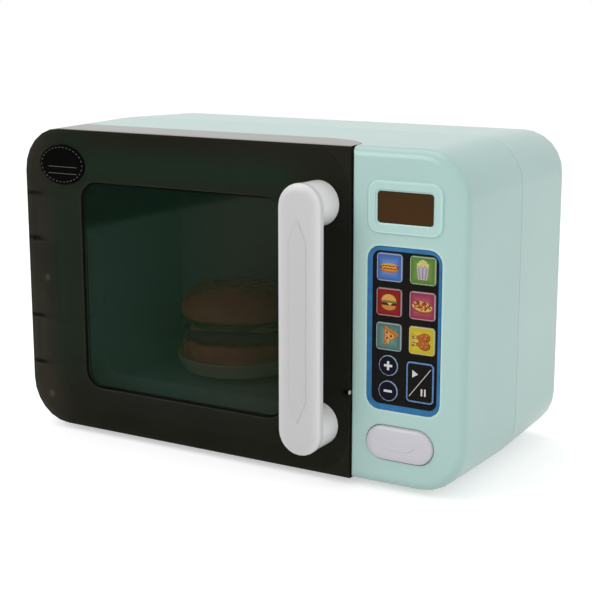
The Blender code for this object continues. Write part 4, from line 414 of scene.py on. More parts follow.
def field_distance(made, spans, radius):
    """How far a point lies outside a round-cornered field. Inside it is negative."""
    parts = []
    for value, (low, high) in zip(case_place(made), spans):
        offset = maths(made, "ABSOLUTE", maths(made, "SUBTRACT", value, (low + high) / 2))
        parts.append(maths(made, "SUBTRACT", offset, (high - low) / 2 - radius))
    corner = diagonal(made, [maths(made, "MAXIMUM", part, 0.0) for part in parts])
    inner = maths(made, "MINIMUM", maths(made, "MAXIMUM", *parts), 0.0)
    return maths(made, "SUBTRACT", maths(made, "ADD", corner, inner), radius)


def shade(colour, factor):
    return tuple(min(1, part * factor) for part in colour)


def blend_colours(made, share, first, second):
    """A colour between two, each a colour or another node's output."""
    node = add_node(made, "ShaderNodeMix", data_type="RGBA")
    colours = [socket for socket in node.inputs if socket.type == "RGBA"]
    for socket, value in zip(colours, (first, second)):
        if isinstance(value, tuple):
            socket.default_value = (*value, 1)
        else:
            wire(made, value, socket)
    wire(made, share, node.inputs["Factor"])
    return [socket for socket in node.outputs if socket.type == "RGBA"][0]


def layered(made, tone, *layers):
    """A colour with others laid over it in turn, each by its own share."""
    for share, colour in layers:
        tone = blend_colours(made, share, tone, colour)
    return tone


def two_tones(made, colour, per_metre, low, high):
    """An uneven colour: a darker and a lighter tone of it, mixed by a broad noise."""
    share = spread(made, noise(made, per_metre), 0, 1)
    return blend_colours(made, share, shade(colour, low), shade(colour, high))


def add_tone(made, per_metre, drift):
    """Makes the finish's own colour uneven."""
    colour = shader_of(made).inputs["Base Color"].default_value[:3]
    paint(made, two_tones(made, colour, per_metre, 1 - drift, 1 + drift))


def add_gloss(made, per_metre, drift):
    """Makes the finish's own gloss uneven, as from handling and from the mould's polish."""
    socket = shader_of(made).inputs["Roughness"]
    low, high = socket.default_value * (1 - drift), socket.default_value * (1 + drift)
    wire(made, spread(made, noise(made, per_metre, detail=0), low, high), socket)


def add_relief(made, layers):
    """Small relief, in one layer or in several on top of each other."""
    normal = None
    for per_metre, height, strength in layers:
        bump = add_node(made, "ShaderNodeBump")
        bump.inputs["Distance"].default_value = height
        bump.inputs["Strength"].default_value = strength
        wire(made, noise(made, per_metre, detail=0), bump.inputs["Height"])
        if normal is not None:
            wire(made, normal, bump.inputs["Normal"])
        normal = bump.outputs["Normal"]
    wire(made, normal, shader_of(made).inputs["Normal"])


def add_mould_skin(made, drift=0.012):
    """The skin of moulded plastic: uneven gloss and a soft waviness."""
    add_gloss(made, GLOSS_GRAIN, drift)
    add_relief(made, MOULD_WAVES)


def moulded(name, colour, roughness, tone=0.02, **sockets):
    """Injection-moulded plastic in one colour with faint flow tones."""
    made = new_finish(name, colour, roughness, **sockets)
    add_tone(made, FLOW_GRAIN, tone)
    add_mould_skin(made)
    return made


def white_finish():
    """White plastic, with painted light that makes the handle's flanks and its posts brighter, where light
    gathers behind the bar.
    """
    made = new_finish("white_handle_plastic", WHITE, 0.24)
    depth = case_depth(made)
    # Painted light: the handle's flanks and its posts are painted brighter.
    paint(made, layered(
        made,
        two_tones(made, WHITE, FLOW_GRAIN, low=0.825, high=0.845),
        (rise(made, depth, *FLANK_LIGHT_DEPTH), FLANK_PAINTED_LIGHT),
        (rise(made, depth, *POST_LIGHT_DEPTH), POST_PAINTED_LIGHT),
    ))
    add_mould_skin(made)
    return made


def mint_finish():
    """Mint plastic, with painted highlights that make the panel's two raised borders paler where they
    catch the light.
    """
    made = new_finish("mint_case_plastic", MINT, 0.27, Specular_IOR_Level=0.75)
    front = fall(made, case_depth(made), *EDGE_HIGHLIGHT_DEPTH)
    layers = []
    # Each band is a painted highlight along a raised border, on the front only.
    for spans, radius, near, far, highlight_lift in PAINTED_EDGE_HIGHLIGHTS:
        highlight_band = between(made, field_distance(made, spans, radius), near, far, *EDGE_HIGHLIGHT_SOFT)
        layers.append((maths(made, "MULTIPLY", highlight_band, front), shade(MINT, highlight_lift)))
    paint(made, layered(made, two_tones(made, MINT, FLOW_GRAIN, low=0.98, high=1.02), *layers))
    add_mould_skin(made)
    return made


def knuckle_shadows(made, across, up):
    """Painted shadows: soft dark lines where the hinge's knuckles end behind the smoked plastic."""
    lines = []
    for height in KNUCKLE_LINES:
        off = maths(made, "ABSOLUTE", maths(made, "SUBTRACT", up, height))
        lines.append(fall(made, off, *KNUCKLE_WIDTH))
    return maths(made, "MULTIPLY", maths(made, "MAXIMUM", *lines), fall(made, across, *KNUCKLE_REACH))


def boss_highlights(made, across, up):
    """Painted highlights: soft pale dots where bosses touch the smoked plastic from behind."""
    dots = []
    for place in BOSSES:
        offsets = [maths(made, "SUBTRACT", value, middle) for value, middle in zip((across, up), place)]
        dots.append(fall(made, diagonal(made, offsets), *BOSS_FADE))
    return maths(made, "MULTIPLY", maths(made, "MAXIMUM", *dots), BOSS_SHARE)


def door_frame_colour(made, across, up, distance, crease_shade):
    """Brown smoke round the window, with the marks of what lies behind it, painted in as a soft
    reflection, highlights, shadows and shade.
    """
    # A painted soft reflection along the hinge, stronger towards the bottom and blotchy.
    hinge = maths(
        made,
        "MULTIPLY",
        fall(made, across, *HINGE_ACROSS),
        spread(made, noise(made, per_metre=30), HINGE_LEAST, 1),
        spread(made, up, 1, HINGE_TOP_SHARE, *HINGE_UP),
    )
    over = maths(made, "MULTIPLY", rise(made, up, *GLOW_UP), fall(made, distance, *GLOW_REACH))
    beside = maths(
        made,
        "MULTIPLY",
        spread(made, across, 0, BESIDE_SHARE, *BESIDE_LEFT),
        fall(made, across, *BESIDE_RIGHT),
        rise(made, up, *BESIDE_UP),
    )
    # Painted shade for the dark pocket behind the catch.
    pocket = field_distance(made, POCKET_FIELD, POCKET_ROUND)
    return layered(
        made,
        two_tones(made, FRAME_SMOKE, per_metre=18, low=0.88, high=1.14),
        (hinge, HINGE_REFLECTION),
        # Painted shadows at the knuckles, painted highlights on the bosses and the lip, and painted shade
        # in the crease and the pocket.
        (knuckle_shadows(made, across, up), shade(FRAME_SMOKE, KNUCKLE_SHADOW)),
        (boss_highlights(made, across, up), BOSS_HIGHLIGHT),
        (maths(made, "MAXIMUM", over, beside), GREEN_SMOKE),
        (between(made, distance, WINDOW_CREASE, WINDOW_LIP), shade(FRAME_SMOKE, LIP_HIGHLIGHT)),
        (crease_shade, shade(FRAME_SMOKE, CREASE_SHADE)),
        (fall(made, pocket, -POCKET_SOFT, POCKET_SOFT), shade(FRAME_SMOKE, POCKET_SHADE)),
    )


def smoked_door():
    """Clear plastic tinted dark brown: a greener window with painted shade in its upper part, a denser
    frame and rim, and a painted sheen on its top edge.
    """
    made = new_finish("smoked_door_plastic", FRAME_SMOKE, 0.08, Specular_IOR_Level=0.03)
    across, up = case_place(made)
    distance = field_distance(made, WINDOW_FIELD, WINDOW_ROUND)
    outside = beyond(made, distance, 0.0, WINDOW_SOFT)
    # Painted shade in the window's crease, as a dark line.
    crease_shade = between(made, distance, 0.0, WINDOW_CREASE, near_soft=WINDOW_SOFT)
    rim = beyond(made, field_distance(made, DOOR_FIELD, DOOR_ROUND), RIM_START, RIM_SOFT)
    # Painted shade over the window's upper part, above a leaning line.
    leaning_up = maths(made, "SUBTRACT", up, maths(made, "MULTIPLY", across, DEEP_LEAN))
    window_shade = rise(made, leaning_up, *DEEP_UP)
    # A painted sheen where the door's top faces up.
    top_sheen = maths(made, "MULTIPLY", rise(made, up, *SHEEN_UP), rise(made, upward(made), *SHEEN_SLOPE))
    paint(made, layered(
        made,
        two_tones(made, WINDOW_SMOKE, per_metre=12, low=0.9, high=1.1),
        (rise(made, across, *WARM_ACROSS), WARM_SMOKE),
        (window_shade, WINDOW_PAINTED_SHADE),
        (outside, door_frame_colour(made, across, up, distance, crease_shade)),
        (top_sheen, DOOR_TOP_SHEEN),
    ))
    opaque = maths(
        made,
        "MAXIMUM",
        spread(made, window_shade, WINDOW_ALPHA, DEEP_ALPHA, 0, 1),
        maths(made, "MULTIPLY", outside, FRAME_ALPHA),
        maths(made, "MULTIPLY", rim, RIM_ALPHA),
        maths(made, "MULTIPLY", crease_shade, CREASE_ALPHA),
        top_sheen,
    )
    wire(made, opaque, shader_of(made).inputs["Alpha"])
    add_mould_skin(made, drift=0.35)
    return made


def overlay_print():
    """The keypad's film: a blue border round a black field."""
    made = new_finish("keypad_film_print", INK, 0.22, Specular_IOR_Level=0.03)
    edge = beyond(made, field_distance(made, PAD_INNER, PAD_INNER_ROUND), 0.0)
    dark = two_tones(made, INK, per_metre=500, low=0.9, high=1.3)
    blue = two_tones(made, BLUE, per_metre=160, low=0.90, high=1.12)
    paint(made, blend_colours(made, edge, dark, blue))
    add_gloss(made, per_metre=120, drift=0.3)
    add_relief(made, ((160, 0.000015, 0.4), (2200, 0.000001, 0.3)))
    return made


def tile_finish(name, spans, field, glow):
    """A key's printed tile: a pale border round a field that is lighter in its middle."""
    made = new_finish(name, field, 0.30, Specular_IOR_Level=0.05)
    distance = field_distance(made, spans, TILE_ROUND)
    reach = (spans[0][1] - spans[0][0]) / 2
    middle = rise(made, distance, -TILE_GLOW_REACH * reach, 0)
    grain = spread(made, noise(made, per_metre=1600), 0.90, 1.10)
    inner = blend_colours(made, maths(made, "MULTIPLY", middle, grain), glow, field)
    border = tuple(BORDER_SHARE * pale + BORDER_TINT * part for pale, part in zip(BORDER, glow))
    paint(made, blend_colours(made, beyond(made, distance, -TILE_BORDER), inner, border))
    add_relief(made, PRINT_GRAIN)
    return made


def outline_finish(name, spans, radius, line, drawn, field):
    """A dark key with a drawn outline."""
    made = new_finish(name, field, 0.28, Specular_IOR_Level=0.03)
    distance = field_distance(made, spans, radius)
    drawn_line = two_tones(made, drawn, per_metre=700, low=0.85, high=1.15)
    paint(made, layered(
        made,
        two_tones(made, field, per_metre=1200, low=1, high=1.3),
        (beyond(made, distance, -OUTLINE_INSET - line), drawn_line),
        (beyond(made, distance, -OUTLINE_INSET), INK),
    ))
    add_relief(made, PRINT_GRAIN)
    return made


def key_finish(node):
    """A key's print: a tile, the play key's long outline, or a round one."""
    low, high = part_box(node)
    across = (low.x + KEY_FLANGE, high.x - KEY_FLANGE)
    spans = (across, (low.z - CASE_Z + KEY_FLANGE, high.z - CASE_Z - KEY_FLANGE))
    if node in TILES:
        return tile_finish(node + "_tile", spans, *TILES[node])
    if node == "key_play_pause":
        return outline_finish(node + "_outline", spans, PLAY_ROUND, PLAY_LINE, PLAY_BLUE, INK)
    radius = (across[1] - across[0]) / 2
    return outline_finish(node + "_outline", spans, radius, SIGN_LINE, LAVENDER, NAVY)


def ink(name, colour):
    """One printed ink: an uneven halftone under a low gloss."""
    made = new_finish(name, colour, 0.30, Specular_IOR_Level=0.05)
    add_tone(made, per_metre=1500, drift=0.10)
    add_relief(made, INK_GRAIN)
    return made


def metal(name, colour, roughness):
    """Bright plated steel with fine drawn marks."""
    made = new_finish(name, colour, roughness, Metallic=1.0)
    add_tone(made, per_metre=300, drift=0.05)
    add_gloss(made, per_metre=900, drift=0.3)
    add_relief(made, ((3000, 0.000002, 0.5),))
    return made


def bun_finish():
    """Play bread: toasted brown that pales towards its sides, with darker mottling."""
    made = new_finish("toy_bun_plastic", BUN, 0.30)
    mottle = spread(made, noise(made, per_metre=60, detail=4), 0, 1)
    crust = blend_colours(made, mottle, shade(BUN, 0.75), shade(BUN, 1.30))
    side = fall(made, maths(made, "ABSOLUTE", upward(made)), 0.0, CRUMB_SLOPE)
    crumb = blend_colours(made, mottle, *CRUMB)
    paint(made, blend_colours(made, maths(made, "MULTIPLY", side, CRUMB_SHARE), crust, crumb))
    add_gloss(made, per_metre=200, drift=0.2)
    add_relief(made, ((240, 0.00008, 0.4),))
    return made


def food_finish(name, colour, roughness, per_metre, height):
    """Play food plastic with a blotchy colour and a lumpy skin."""
    made = new_finish(name, colour, roughness)
    add_tone(made, per_metre, drift=0.25)
    add_gloss(made, per_metre * 2, drift=0.2)
    add_relief(made, ((per_metre * 1.5, height, 0.6), (1800, 0.00002, 0.4)))
    return made


def board_finish():
    """Green laminate with the faint pattern of its tracks."""
    made = new_finish("board_laminate_green", BOARD_GREEN, 0.35)
    tracks = add_node(made, "ShaderNodeTexVoronoi", feature="DISTANCE_TO_EDGE")
    tracks.inputs["Scale"].default_value = 260
    wire(made, coordinates(made), tracks.inputs["Vector"])
    share = rise(made, tracks.outputs["Distance"], 0.02, 0.06)
    paint(made, blend_colours(made, share, shade(BOARD_GREEN, 1.8), BOARD_GREEN))
    add_gloss(made, per_metre=400, drift=0.2)
    return made


def badge_finish():
    """Black enamel with a faint orange peel."""
    made = new_finish("black_badge_enamel", BADGE_BLACK, 0.26, Specular_IOR_Level=0.01)
    add_tone(made, per_metre=90, drift=0.2)
    add_gloss(made, per_metre=220, drift=0.25)
    add_relief(made, ((500, 0.000004, 0.3),))
    return made


FINISHES = {
    "mint_plastic": mint_finish(),
    "white_plastic": white_finish(),
    "black_plastic": moulded("black_inner_plastic", INNER_BLACK, 0.42, tone=0.10, Specular_IOR_Level=0.15),
    "tinted_plastic": smoked_door(),
    "smoked_plastic": moulded("smoked_lens_plastic", LENS_BROWN, 0.10, tone=0.08, Specular_IOR_Level=0.05),
    "overlay_print": overlay_print(),
    "mat_rubber": moulded("keypad_mat_rubber", (0.30, 0.30, 0.28), 0.62, tone=0.05),
    "foot_rubber": moulded("foot_pad_rubber", (0.035, 0.035, 0.035), 0.75, tone=0.15),
    "board_laminate": board_finish(),
    "lamp_plastic": moulded("lamp_lens_plastic", (0.80, 0.74, 0.55), 0.20),
    "plate_plastic": moulded("cream_plate_plastic", (0.62, 0.56, 0.42), 0.35),
    "bun_plastic": bun_finish(),
    "patty_plastic": food_finish("toy_patty_plastic", (0.045, 0.020, 0.014), 0.6, 320, 0.00040),
    "cheese_plastic": food_finish("toy_cheese_plastic", (0.50, 0.25, 0.05), 0.4, 90, 0.00008),
    "lettuce_plastic": food_finish("toy_lettuce_plastic", (0.055, 0.062, 0.026), 0.45, 130, 0.00025),
    "steel": metal("plated_steel", (0.62, 0.62, 0.61), 0.28),
    "cell_wrap": moulded("cell_wrap_film", (0.030, 0.030, 0.034), 0.30, tone=0.12),
}

# Pieces whose finish differs from the others of their slot.
OWN_FINISH = {
    "release_button": moulded("white_button_plastic", BUTTON_WHITE, 0.17, tone=0.015),
    "door_badge": badge_finish(),
}

INKS = {
    "sign_white": ink("sign_white_ink", (0.580, 0.580, 0.600)),
    "bread": ink("bread_ink", (0.470, 0.190, 0.040)),
    "toast": ink("toast_ink", (0.560, 0.270, 0.070)),
    "crust": ink("crust_ink", (0.330, 0.100, 0.020)),
    "sausage": ink("sausage_ink", (0.260, 0.040, 0.018)),
    "mustard": ink("mustard_ink", (0.760, 0.480, 0.030)),
    "leaf": ink("leaf_ink", (0.070, 0.180, 0.030)),
    "patty": ink("patty_ink", (0.055, 0.022, 0.012)),
    "cheese": ink("cheese_ink", (0.600, 0.410, 0.140)),
    "tomato": ink("tomato_ink", (0.420, 0.030, 0.020)),
    "carton": ink("carton_ink", (0.390, 0.350, 0.375)),
    "stripe": ink("stripe_ink", (0.250, 0.205, 0.240)),
    "corn": ink("corn_ink", (0.460, 0.440, 0.200)),
    "roast": ink("roast_ink", (0.340, 0.100, 0.022)),
    "char": ink("char_ink", (0.130, 0.030, 0.010)),
    "bone": ink("bone_ink", (0.560, 0.430, 0.200)),
}


def new_item(name, data):
    """A new object in the scene, around its data."""
    item = bpy.data.objects.new(name, data)
    bpy.context.scene.collection.objects.link(item)
    return item


def lone(item):
    """Makes one object the only selected and active one."""
    if bpy.context.object and bpy.context.object.mode != "OBJECT":
        bpy.ops.object.mode_set(mode="OBJECT")
    bpy.ops.object.select_all(action="DESELECT")
    item.select_set(True)
    bpy.context.view_layer.objects.active = item


def apply_all(item):
    lone(item)
    for change in list(item.modifiers):
        bpy.ops.object.modifier_apply(modifier=change.name)


def smooth_copy(node, finish):
    """A merged copy of a frame piece with soft edges and smooth rounds, standing in for it."""
    piece = new_item("smooth_" + node, frame["nodes"][node].data.copy())
    lone(piece)
    bpy.ops.mesh.customdata_custom_splitnormals_clear()
    bpy.ops.object.mode_set(mode="EDIT")
    bpy.ops.mesh.select_all(action="SELECT")
    bpy.ops.mesh.remove_doubles(threshold=MERGE_DISTANCE)
    bpy.ops.mesh.dissolve_limited(angle_limit=FLAT_ANGLE)
    bpy.ops.object.mode_set(mode="OBJECT")
    if node in EDGES:
        bevel = piece.modifiers.new("Edge", "BEVEL")
        bevel.width = EDGES[node]
        bevel.segments = 2
        bevel.limit_method = "ANGLE"
        bevel.angle_limit = SHARP_ANGLE
        bevel.miter_outer = "MITER_ARC"
    apply_all(piece)
    bpy.ops.object.shade_smooth_by_angle(angle=SHARP_ANGLE)
    weighted = piece.modifiers.new("Weighted", "WEIGHTED_NORMAL")
    weighted.keep_sharp = True
    apply_all(piece)
    piece.data.materials.clear()
    piece.data.materials.append(finish)
    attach(piece, BODY_OF[node])
    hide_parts(node)


def dress_frame():
    """Gives every frame piece its finish, most of them on a smooth copy."""
    for node, item in frame["nodes"].items():
        finish = OWN_FINISH.get(node) or FINISHES.get(SLOT_OF[node]) or key_finish(node)
        if node in PLAIN:
            item.data.materials.clear()
            item.data.materials.append(finish)
        else:
            smooth_copy(node, finish)


def turn_selected(angle, axis, place):
    """Turns what is selected about a place, by an angle in radians."""
    bpy.ops.transform.rotate(value=angle, orient_axis=axis, center_override=place)


def start_piece(name, *finishes):
    """An empty mesh at the origin, in edit mode, for shapes added at their own place."""
    piece = new_item(name, bpy.data.meshes.new(name))
    for finish in finishes:
        piece.data.materials.append(finish)
    lone(piece)
    bpy.ops.object.mode_set(mode="EDIT")
    return piece


class Picture:
    """A printed picture on a key's face, built up ink by ink in edit mode. Offsets are in millimetres."""

    def __init__(self, node, inks, tilt=0):
        self.node = node
        self.inks = inks
        self.tilt = tilt
        low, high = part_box(node)
        self.x, self.face, self.z = (low.x + high.x) / 2, low.y, (low.z + high.z) / 2
        self.layer = 0
        self.piece = start_piece(node + "_picture", *[INKS[name] for name in inks])

    def place(self, across, up):
        """A place on the key, from an offset in the tilted picture."""
        angle = math.radians(self.tilt)
        x = across * math.cos(angle) - up * math.sin(angle)
        z = across * math.sin(angle) + up * math.cos(angle)
        return (self.x + x / 1000, self.face + INK_ROOT, self.z + z / 1000)

    def trim(self, across, up, angle):
        """Cuts the selected shape along a line and keeps the side below it."""
        lean = math.radians(angle + self.tilt)
        normal = (-math.sin(lean), 0, math.cos(lean))
        bpy.ops.mesh.bisect(plane_co=self.place(across, up), plane_no=normal, clear_outer=True)
        bpy.ops.mesh.select_linked()

    def spot(self, name, across, up, width, height, sides=24, turn=0, start=0, cuts=(), round_off=0):
        """One flat shape of one ink, on top of the shapes before it."""
        place = self.place(across, up)
        bpy.ops.mesh.select_all(action="DESELECT")
        bpy.ops.mesh.primitive_circle_add(
            vertices=sides,
            radius=SHAPE_RADIUS,
            fill_type="NGON",
            location=place,
            rotation=(math.pi / 2, 0, 0),
        )
        if start:
            turn_selected(math.radians(start), "Y", place)
        bpy.ops.transform.resize(value=(width, 1, height), center_override=place)
        if turn + self.tilt:
            turn_selected(math.radians(turn + self.tilt), "Y", place)
        for cut in cuts:
            self.trim(*cut)
        if round_off:
            bpy.ops.mesh.bevel(offset=round_off / 1000, segments=3, affect="VERTICES")
        self.layer += 1
        rise_by = INK_ROOT + INK_LAYER * (1 + self.layer * INK_STEP)
        bpy.ops.mesh.extrude_region_move(TRANSFORM_OT_translate={"value": (0, -rise_by, 0)})
        bpy.ops.mesh.select_linked()
        self.piece.active_material_index = self.inks.index(name)
        bpy.ops.object.material_slot_assign()

    def bar(self, name, across, up, width, height, turn=0, round_off=0):
        """A flat bar of one ink: a four-sided spot, turned so that its sides lie level."""
        wide, high = width * math.sqrt(2), height * math.sqrt(2)
        self.spot(name, across, up, wide, high, sides=4, turn=turn, start=45, round_off=round_off)

    def finish(self):
        bpy.ops.mesh.select_all(action="SELECT")
        bpy.ops.mesh.normals_make_consistent(inside=False)
        bpy.ops.object.mode_set(mode="OBJECT")
        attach(self.piece, BODY_OF[self.node])


def uneven_turn(value):
    """A turn that differs from place to place, so that repeats don't look stamped."""
    return 37 * value


def hot_dog_picture():
    art = Picture("key_hot_dog", ["crust", "bread", "toast", "sausage", "mustard"])
    art.spot("crust", 0, -1.1, 10.6, 3.4, sides=28)
    art.spot("bread", 0, -0.8, 10.2, 2.9, sides=28)
    art.spot("toast", 0, 1.0, 9.8, 2.4, sides=28)
    art.bar("sausage", 0, 0.1, 11.4, 1.9, round_off=0.9)
    for index in range(9):
        art.bar("mustard", -4.0 + index, 0.1, 1.35, 0.42, turn=42 if index % 2 else -42, round_off=0.18)
    art.finish()


def popcorn_picture():
    art = Picture("key_popcorn", ["carton", "stripe", "corn", "cheese"])
    kernels = (
        (-2.4, 3.1, 2.4), (2.4, 3.1, 2.4), (0, 3.3, 2.6), (-1.3, 4.4, 2.3), (1.3, 4.5, 2.3), (0, 5.2, 1.9)
    )
    for across, up, size in kernels:
        art.spot("corn", across, up, size, size, sides=10, turn=uneven_turn(across))
        art.spot("cheese", across + 0.3, up - 0.3, size * 0.45, size * 0.4, sides=8)
    sloped_sides = ((3.1, -1.4, -98), (-3.1, -1.4, 98))
    art.spot("carton", 0, -1.4, 10.8, 9.6, sides=4, start=45, cuts=sloped_sides)
    for across, lean in ((-2.0, 8), (0, 0), (2.0, -8)):
        art.bar("stripe", across, -1.4, 0.75, 6.2, turn=lean, round_off=0.1)
    art.finish()


def burger_picture():
    art = Picture("key_burger", ["bread", "toast", "leaf", "patty", "cheese", "tomato", "corn"])
    art.spot("bread", 0, -1.9, 8.4, 4.8, sides=28, cuts=((0, -1.6, 0),))
    art.bar("patty", 0, -0.9, 9.0, 1.5, round_off=0.7)
    art.spot("cheese", 0.6, -0.3, 5.6, 2.6, sides=3, turn=180)
    art.bar("tomato", 0, 0.1, 8.2, 0.7, round_off=0.3)
    for index in range(8):
        art.spot("leaf", -3.9 + index * 1.12, 0.5, 1.7, 1.1, sides=10)
    art.spot("toast", 0, 1.0, 8.8, 7.0, sides=30, cuts=((0, 1.0, 180),))
    for across, up in ((-2.2, 2.3), (-0.7, 3.3), (1.0, 2.5), (2.5, 2.2), (0.4, 3.9)):
        art.spot("corn", across, up, 0.75, 0.45, sides=8, turn=uneven_turn(across))
    art.finish()


def pie_picture():
    art = Picture("key_pie", ["crust", "cheese", "tomato", "char"])
    discs = (
        ("char", 0.2, -1.2, 11.6, 5.4), ("crust", 0.1, -0.8, 12.0, 5.4),
        ("cheese", 0, -0.1, 11.9, 5.4), ("crust", 0, 0.45, 10.4, 4.1),
    )
    for name, across, up, width, height in discs:
        art.spot(name, across, up, width, height, sides=30, turn=-6)
    for reach, count in ((0.9, 4), (2.7, 8), (4.2, 12), (5.1, 15)):
        for index in range(count):
            angle = 2 * math.pi * index / count + reach
            across = reach * math.cos(angle)
            up = 0.3 + reach * 0.42 * math.sin(angle) - reach * 0.1 * math.cos(angle)
            name = ("char", "cheese", "tomato", "cheese")[index % 4]
            art.spot(name, across, up, 1.05, 0.7, sides=8, turn=uneven_turn(across))
    art.finish()


def pizza_picture():
    art = Picture("key_pizza", ["crust", "toast", "bread", "sausage", "leaf", "cheese"], tilt=-27)
    art.spot("crust", 0, 0.5, 10.4, 12.0, sides=3, turn=180)
    art.spot("toast", 0, 0.7, 9.2, 10.6, sides=3, turn=180)
    art.bar("crust", 0, 3.6, 10.0, 1.8, round_off=0.8)
    art.bar("bread", 0, 3.9, 8.8, 0.7, round_off=0.3)
    for across, up, size in ((-1.9, 1.7, 1.5), (1.2, 1.2, 1.5), (-0.5, -0.9, 1.3), (-0.1, -3.2, 0.8)):
        art.spot("sausage", across, up, size, size, sides=16)
        art.spot("cheese", across + 1.4, up + 0.2, 0.9, 0.7, sides=8)
    for across, up in ((0.0, 2.1), (-1.6, 0.0), (1.1, -0.7), (2.9, 2.2), (-0.2, -2.2)):
        art.spot("leaf", across, up, 0.9, 0.45, sides=8, turn=uneven_turn(up))
    art.finish()


def chicken_picture():
    art = Picture("key_chicken", ["bone", "roast", "char", "toast", "crust"])
    for up, lean in ((1.9, 12), (-2.0, -14)):
        knuckle = up + lean * 0.02
        art.bar("char", -3.4, up, 4.4, 1.5, turn=lean, round_off=0.3)
        art.bar("bone", -3.4, up, 4.0, 0.9, turn=lean, round_off=0.3)
        art.spot("crust", -5.0, knuckle + 0.60, 1.6, 1.4, sides=12)
        art.spot("crust", -5.1, knuckle - 0.45, 1.5, 1.3, sides=12)
        art.spot("bone", -5.0, knuckle + 0.60, 1.0, 0.8, sides=12)
        art.spot("char", 1.5, up - 0.15, 7.4, 5.4, sides=20, turn=lean)
        art.spot("roast", 1.4, up + 0.05, 7.0, 5.0, sides=20, turn=lean)
        art.spot("roast", -1.2, up, 4.0, 2.6, sides=16, turn=lean)
    crumbs = ((0.2, 2.8), (2.2, 1.6), (3.0, 3.2), (1.0, -1.2), (2.8, -2.6), (0.4, -3.0), (3.6, -0.8))
    for across, up in crumbs:
        art.spot("toast", across, up, 1.2, 0.6, sides=10, turn=uneven_turn(up))
        art.spot("char", across + 0.5, up - 0.6, 0.7, 0.4, sides=8, turn=uneven_turn(across))
    art.finish()


def sign_pictures():
    """The plain signs: more, less, and play with pause."""
    for node, strokes in (("key_plus", ((5.0, 1.3), (1.3, 5.0))), ("key_minus", ((5.0, 1.3),))):
        art = Picture(node, ["sign_white"])
        for width, height in strokes:
            art.bar("sign_white", 0, 0, width, height, round_off=0.2)
        art.finish()
    art = Picture("key_play_pause", ["sign_white"])
    art.spot("sign_white", -3.4, 4.6, 4.9, 4.6, sides=3, turn=-90, round_off=0.25)
    for across in (1.1, 3.1):
        art.bar("sign_white", across, -5.2, 0.9, 4.0, round_off=0.15)
    art.bar("sign_white", 0, 0, 20.6, 0.34, turn=52)
    art.finish()


def print_pictures():
    hot_dog_picture()
    popcorn_picture()
    burger_picture()
    pie_picture()
    pizza_picture()
    chicken_picture()
    sign_pictures()


def add_block(place, size, round_off):
    """A small block with soft edges, which stays selected."""
    bpy.ops.mesh.select_all(action="DESELECT")
    bpy.ops.mesh.primitive_cube_add(size=1, location=place)
    bpy.ops.transform.resize(value=size, center_override=place)
    bpy.ops.mesh.bevel(offset=round_off, segments=2)
    bpy.ops.mesh.select_linked()


def even_angles(reach, count):
    """Angles that lie evenly along an oval's length."""
    lengths = [0.0]
    for index in range(OVAL_STEPS):
        angle = 2 * math.pi * (index + 0.5) / OVAL_STEPS
        lengths.append(lengths[-1] + math.hypot(reach[0] * math.sin(angle), reach[1] * math.cos(angle)))
    index = 0
    for number in range(count):
        while lengths[index] < lengths[-1] * number / count:
            index += 1
        yield 2 * math.pi * index / OVAL_STEPS


def stitch_places(depth):
    """Where each stitch lies on the badge, and how it leans along the ring."""
    width, height = STITCH_REACH
    for angle in even_angles(STITCH_REACH, STITCH_COUNT):
        across = STITCH_RING[0] + width * math.cos(angle)
        up = STITCH_RING[1] + height * math.sin(angle)
        lean = math.atan2(height * math.cos(angle), -width * math.sin(angle))
        yield Vector((across, depth, up + CASE_Z)), lean


def stitch_badge():
    """The badge's ring of raised stitches, one shaped and then copied, and its two plain lines."""
    piece = start_piece("badge_stitches", ink("stitch_ink", STITCH_WHITE))
    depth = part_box("door_badge")[0].y
    (place, lean), *others = stitch_places(depth)
    add_block(place, STITCH_SIZE, STITCH_ROUND)
    turn_selected(lean, "Y", place)
    for spot, slope in others:
        bpy.ops.mesh.duplicate()
        bpy.ops.transform.translate(value=spot - place)
        turn_selected(slope - lean, "Y", spot)
        place, lean = spot, slope
    for across, up in BADGE_LINES:
        add_block(Vector((across, depth, up + CASE_Z)), BADGE_LINE_SIZE, BADGE_LINE_ROUND)
    bpy.ops.object.mode_set(mode="OBJECT")
    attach(piece, BODY_OF["door_badge"])


def fit_catch_tip():
    """The catch's white end, which shows in the gap at the door's right edge."""
    piece = start_piece("catch_tip", OWN_FINISH["release_button"])
    add_block(Vector(CATCH_TIP) + Vector((0, CASE_Y, CASE_Z)), CATCH_TIP_SIZE, CATCH_TIP_ROUND)
    bpy.ops.object.mode_set(mode="OBJECT")
    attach(piece, BODY_OF["door_shell"])


def seed_places(bun):
    """Where seeds lie on the bun's top, and how each is turned."""
    low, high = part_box("food_bun_top")
    centre = (low + high) / 2
    for reach, count in SEED_RINGS:
        for index in range(count):
            angle = 2 * math.pi * (index + reach * SEED_STAGGER) / count
            across, back = reach * math.cos(angle), reach * math.sin(angle)
            above = Vector((centre.x + across, centre.y + back, high.z + SEED_DROP))
            hit, spot, _, _ = bun.ray_cast(above, Vector((0, 0, -1)))
            if hit:
                yield spot, angle * SEED_TURN


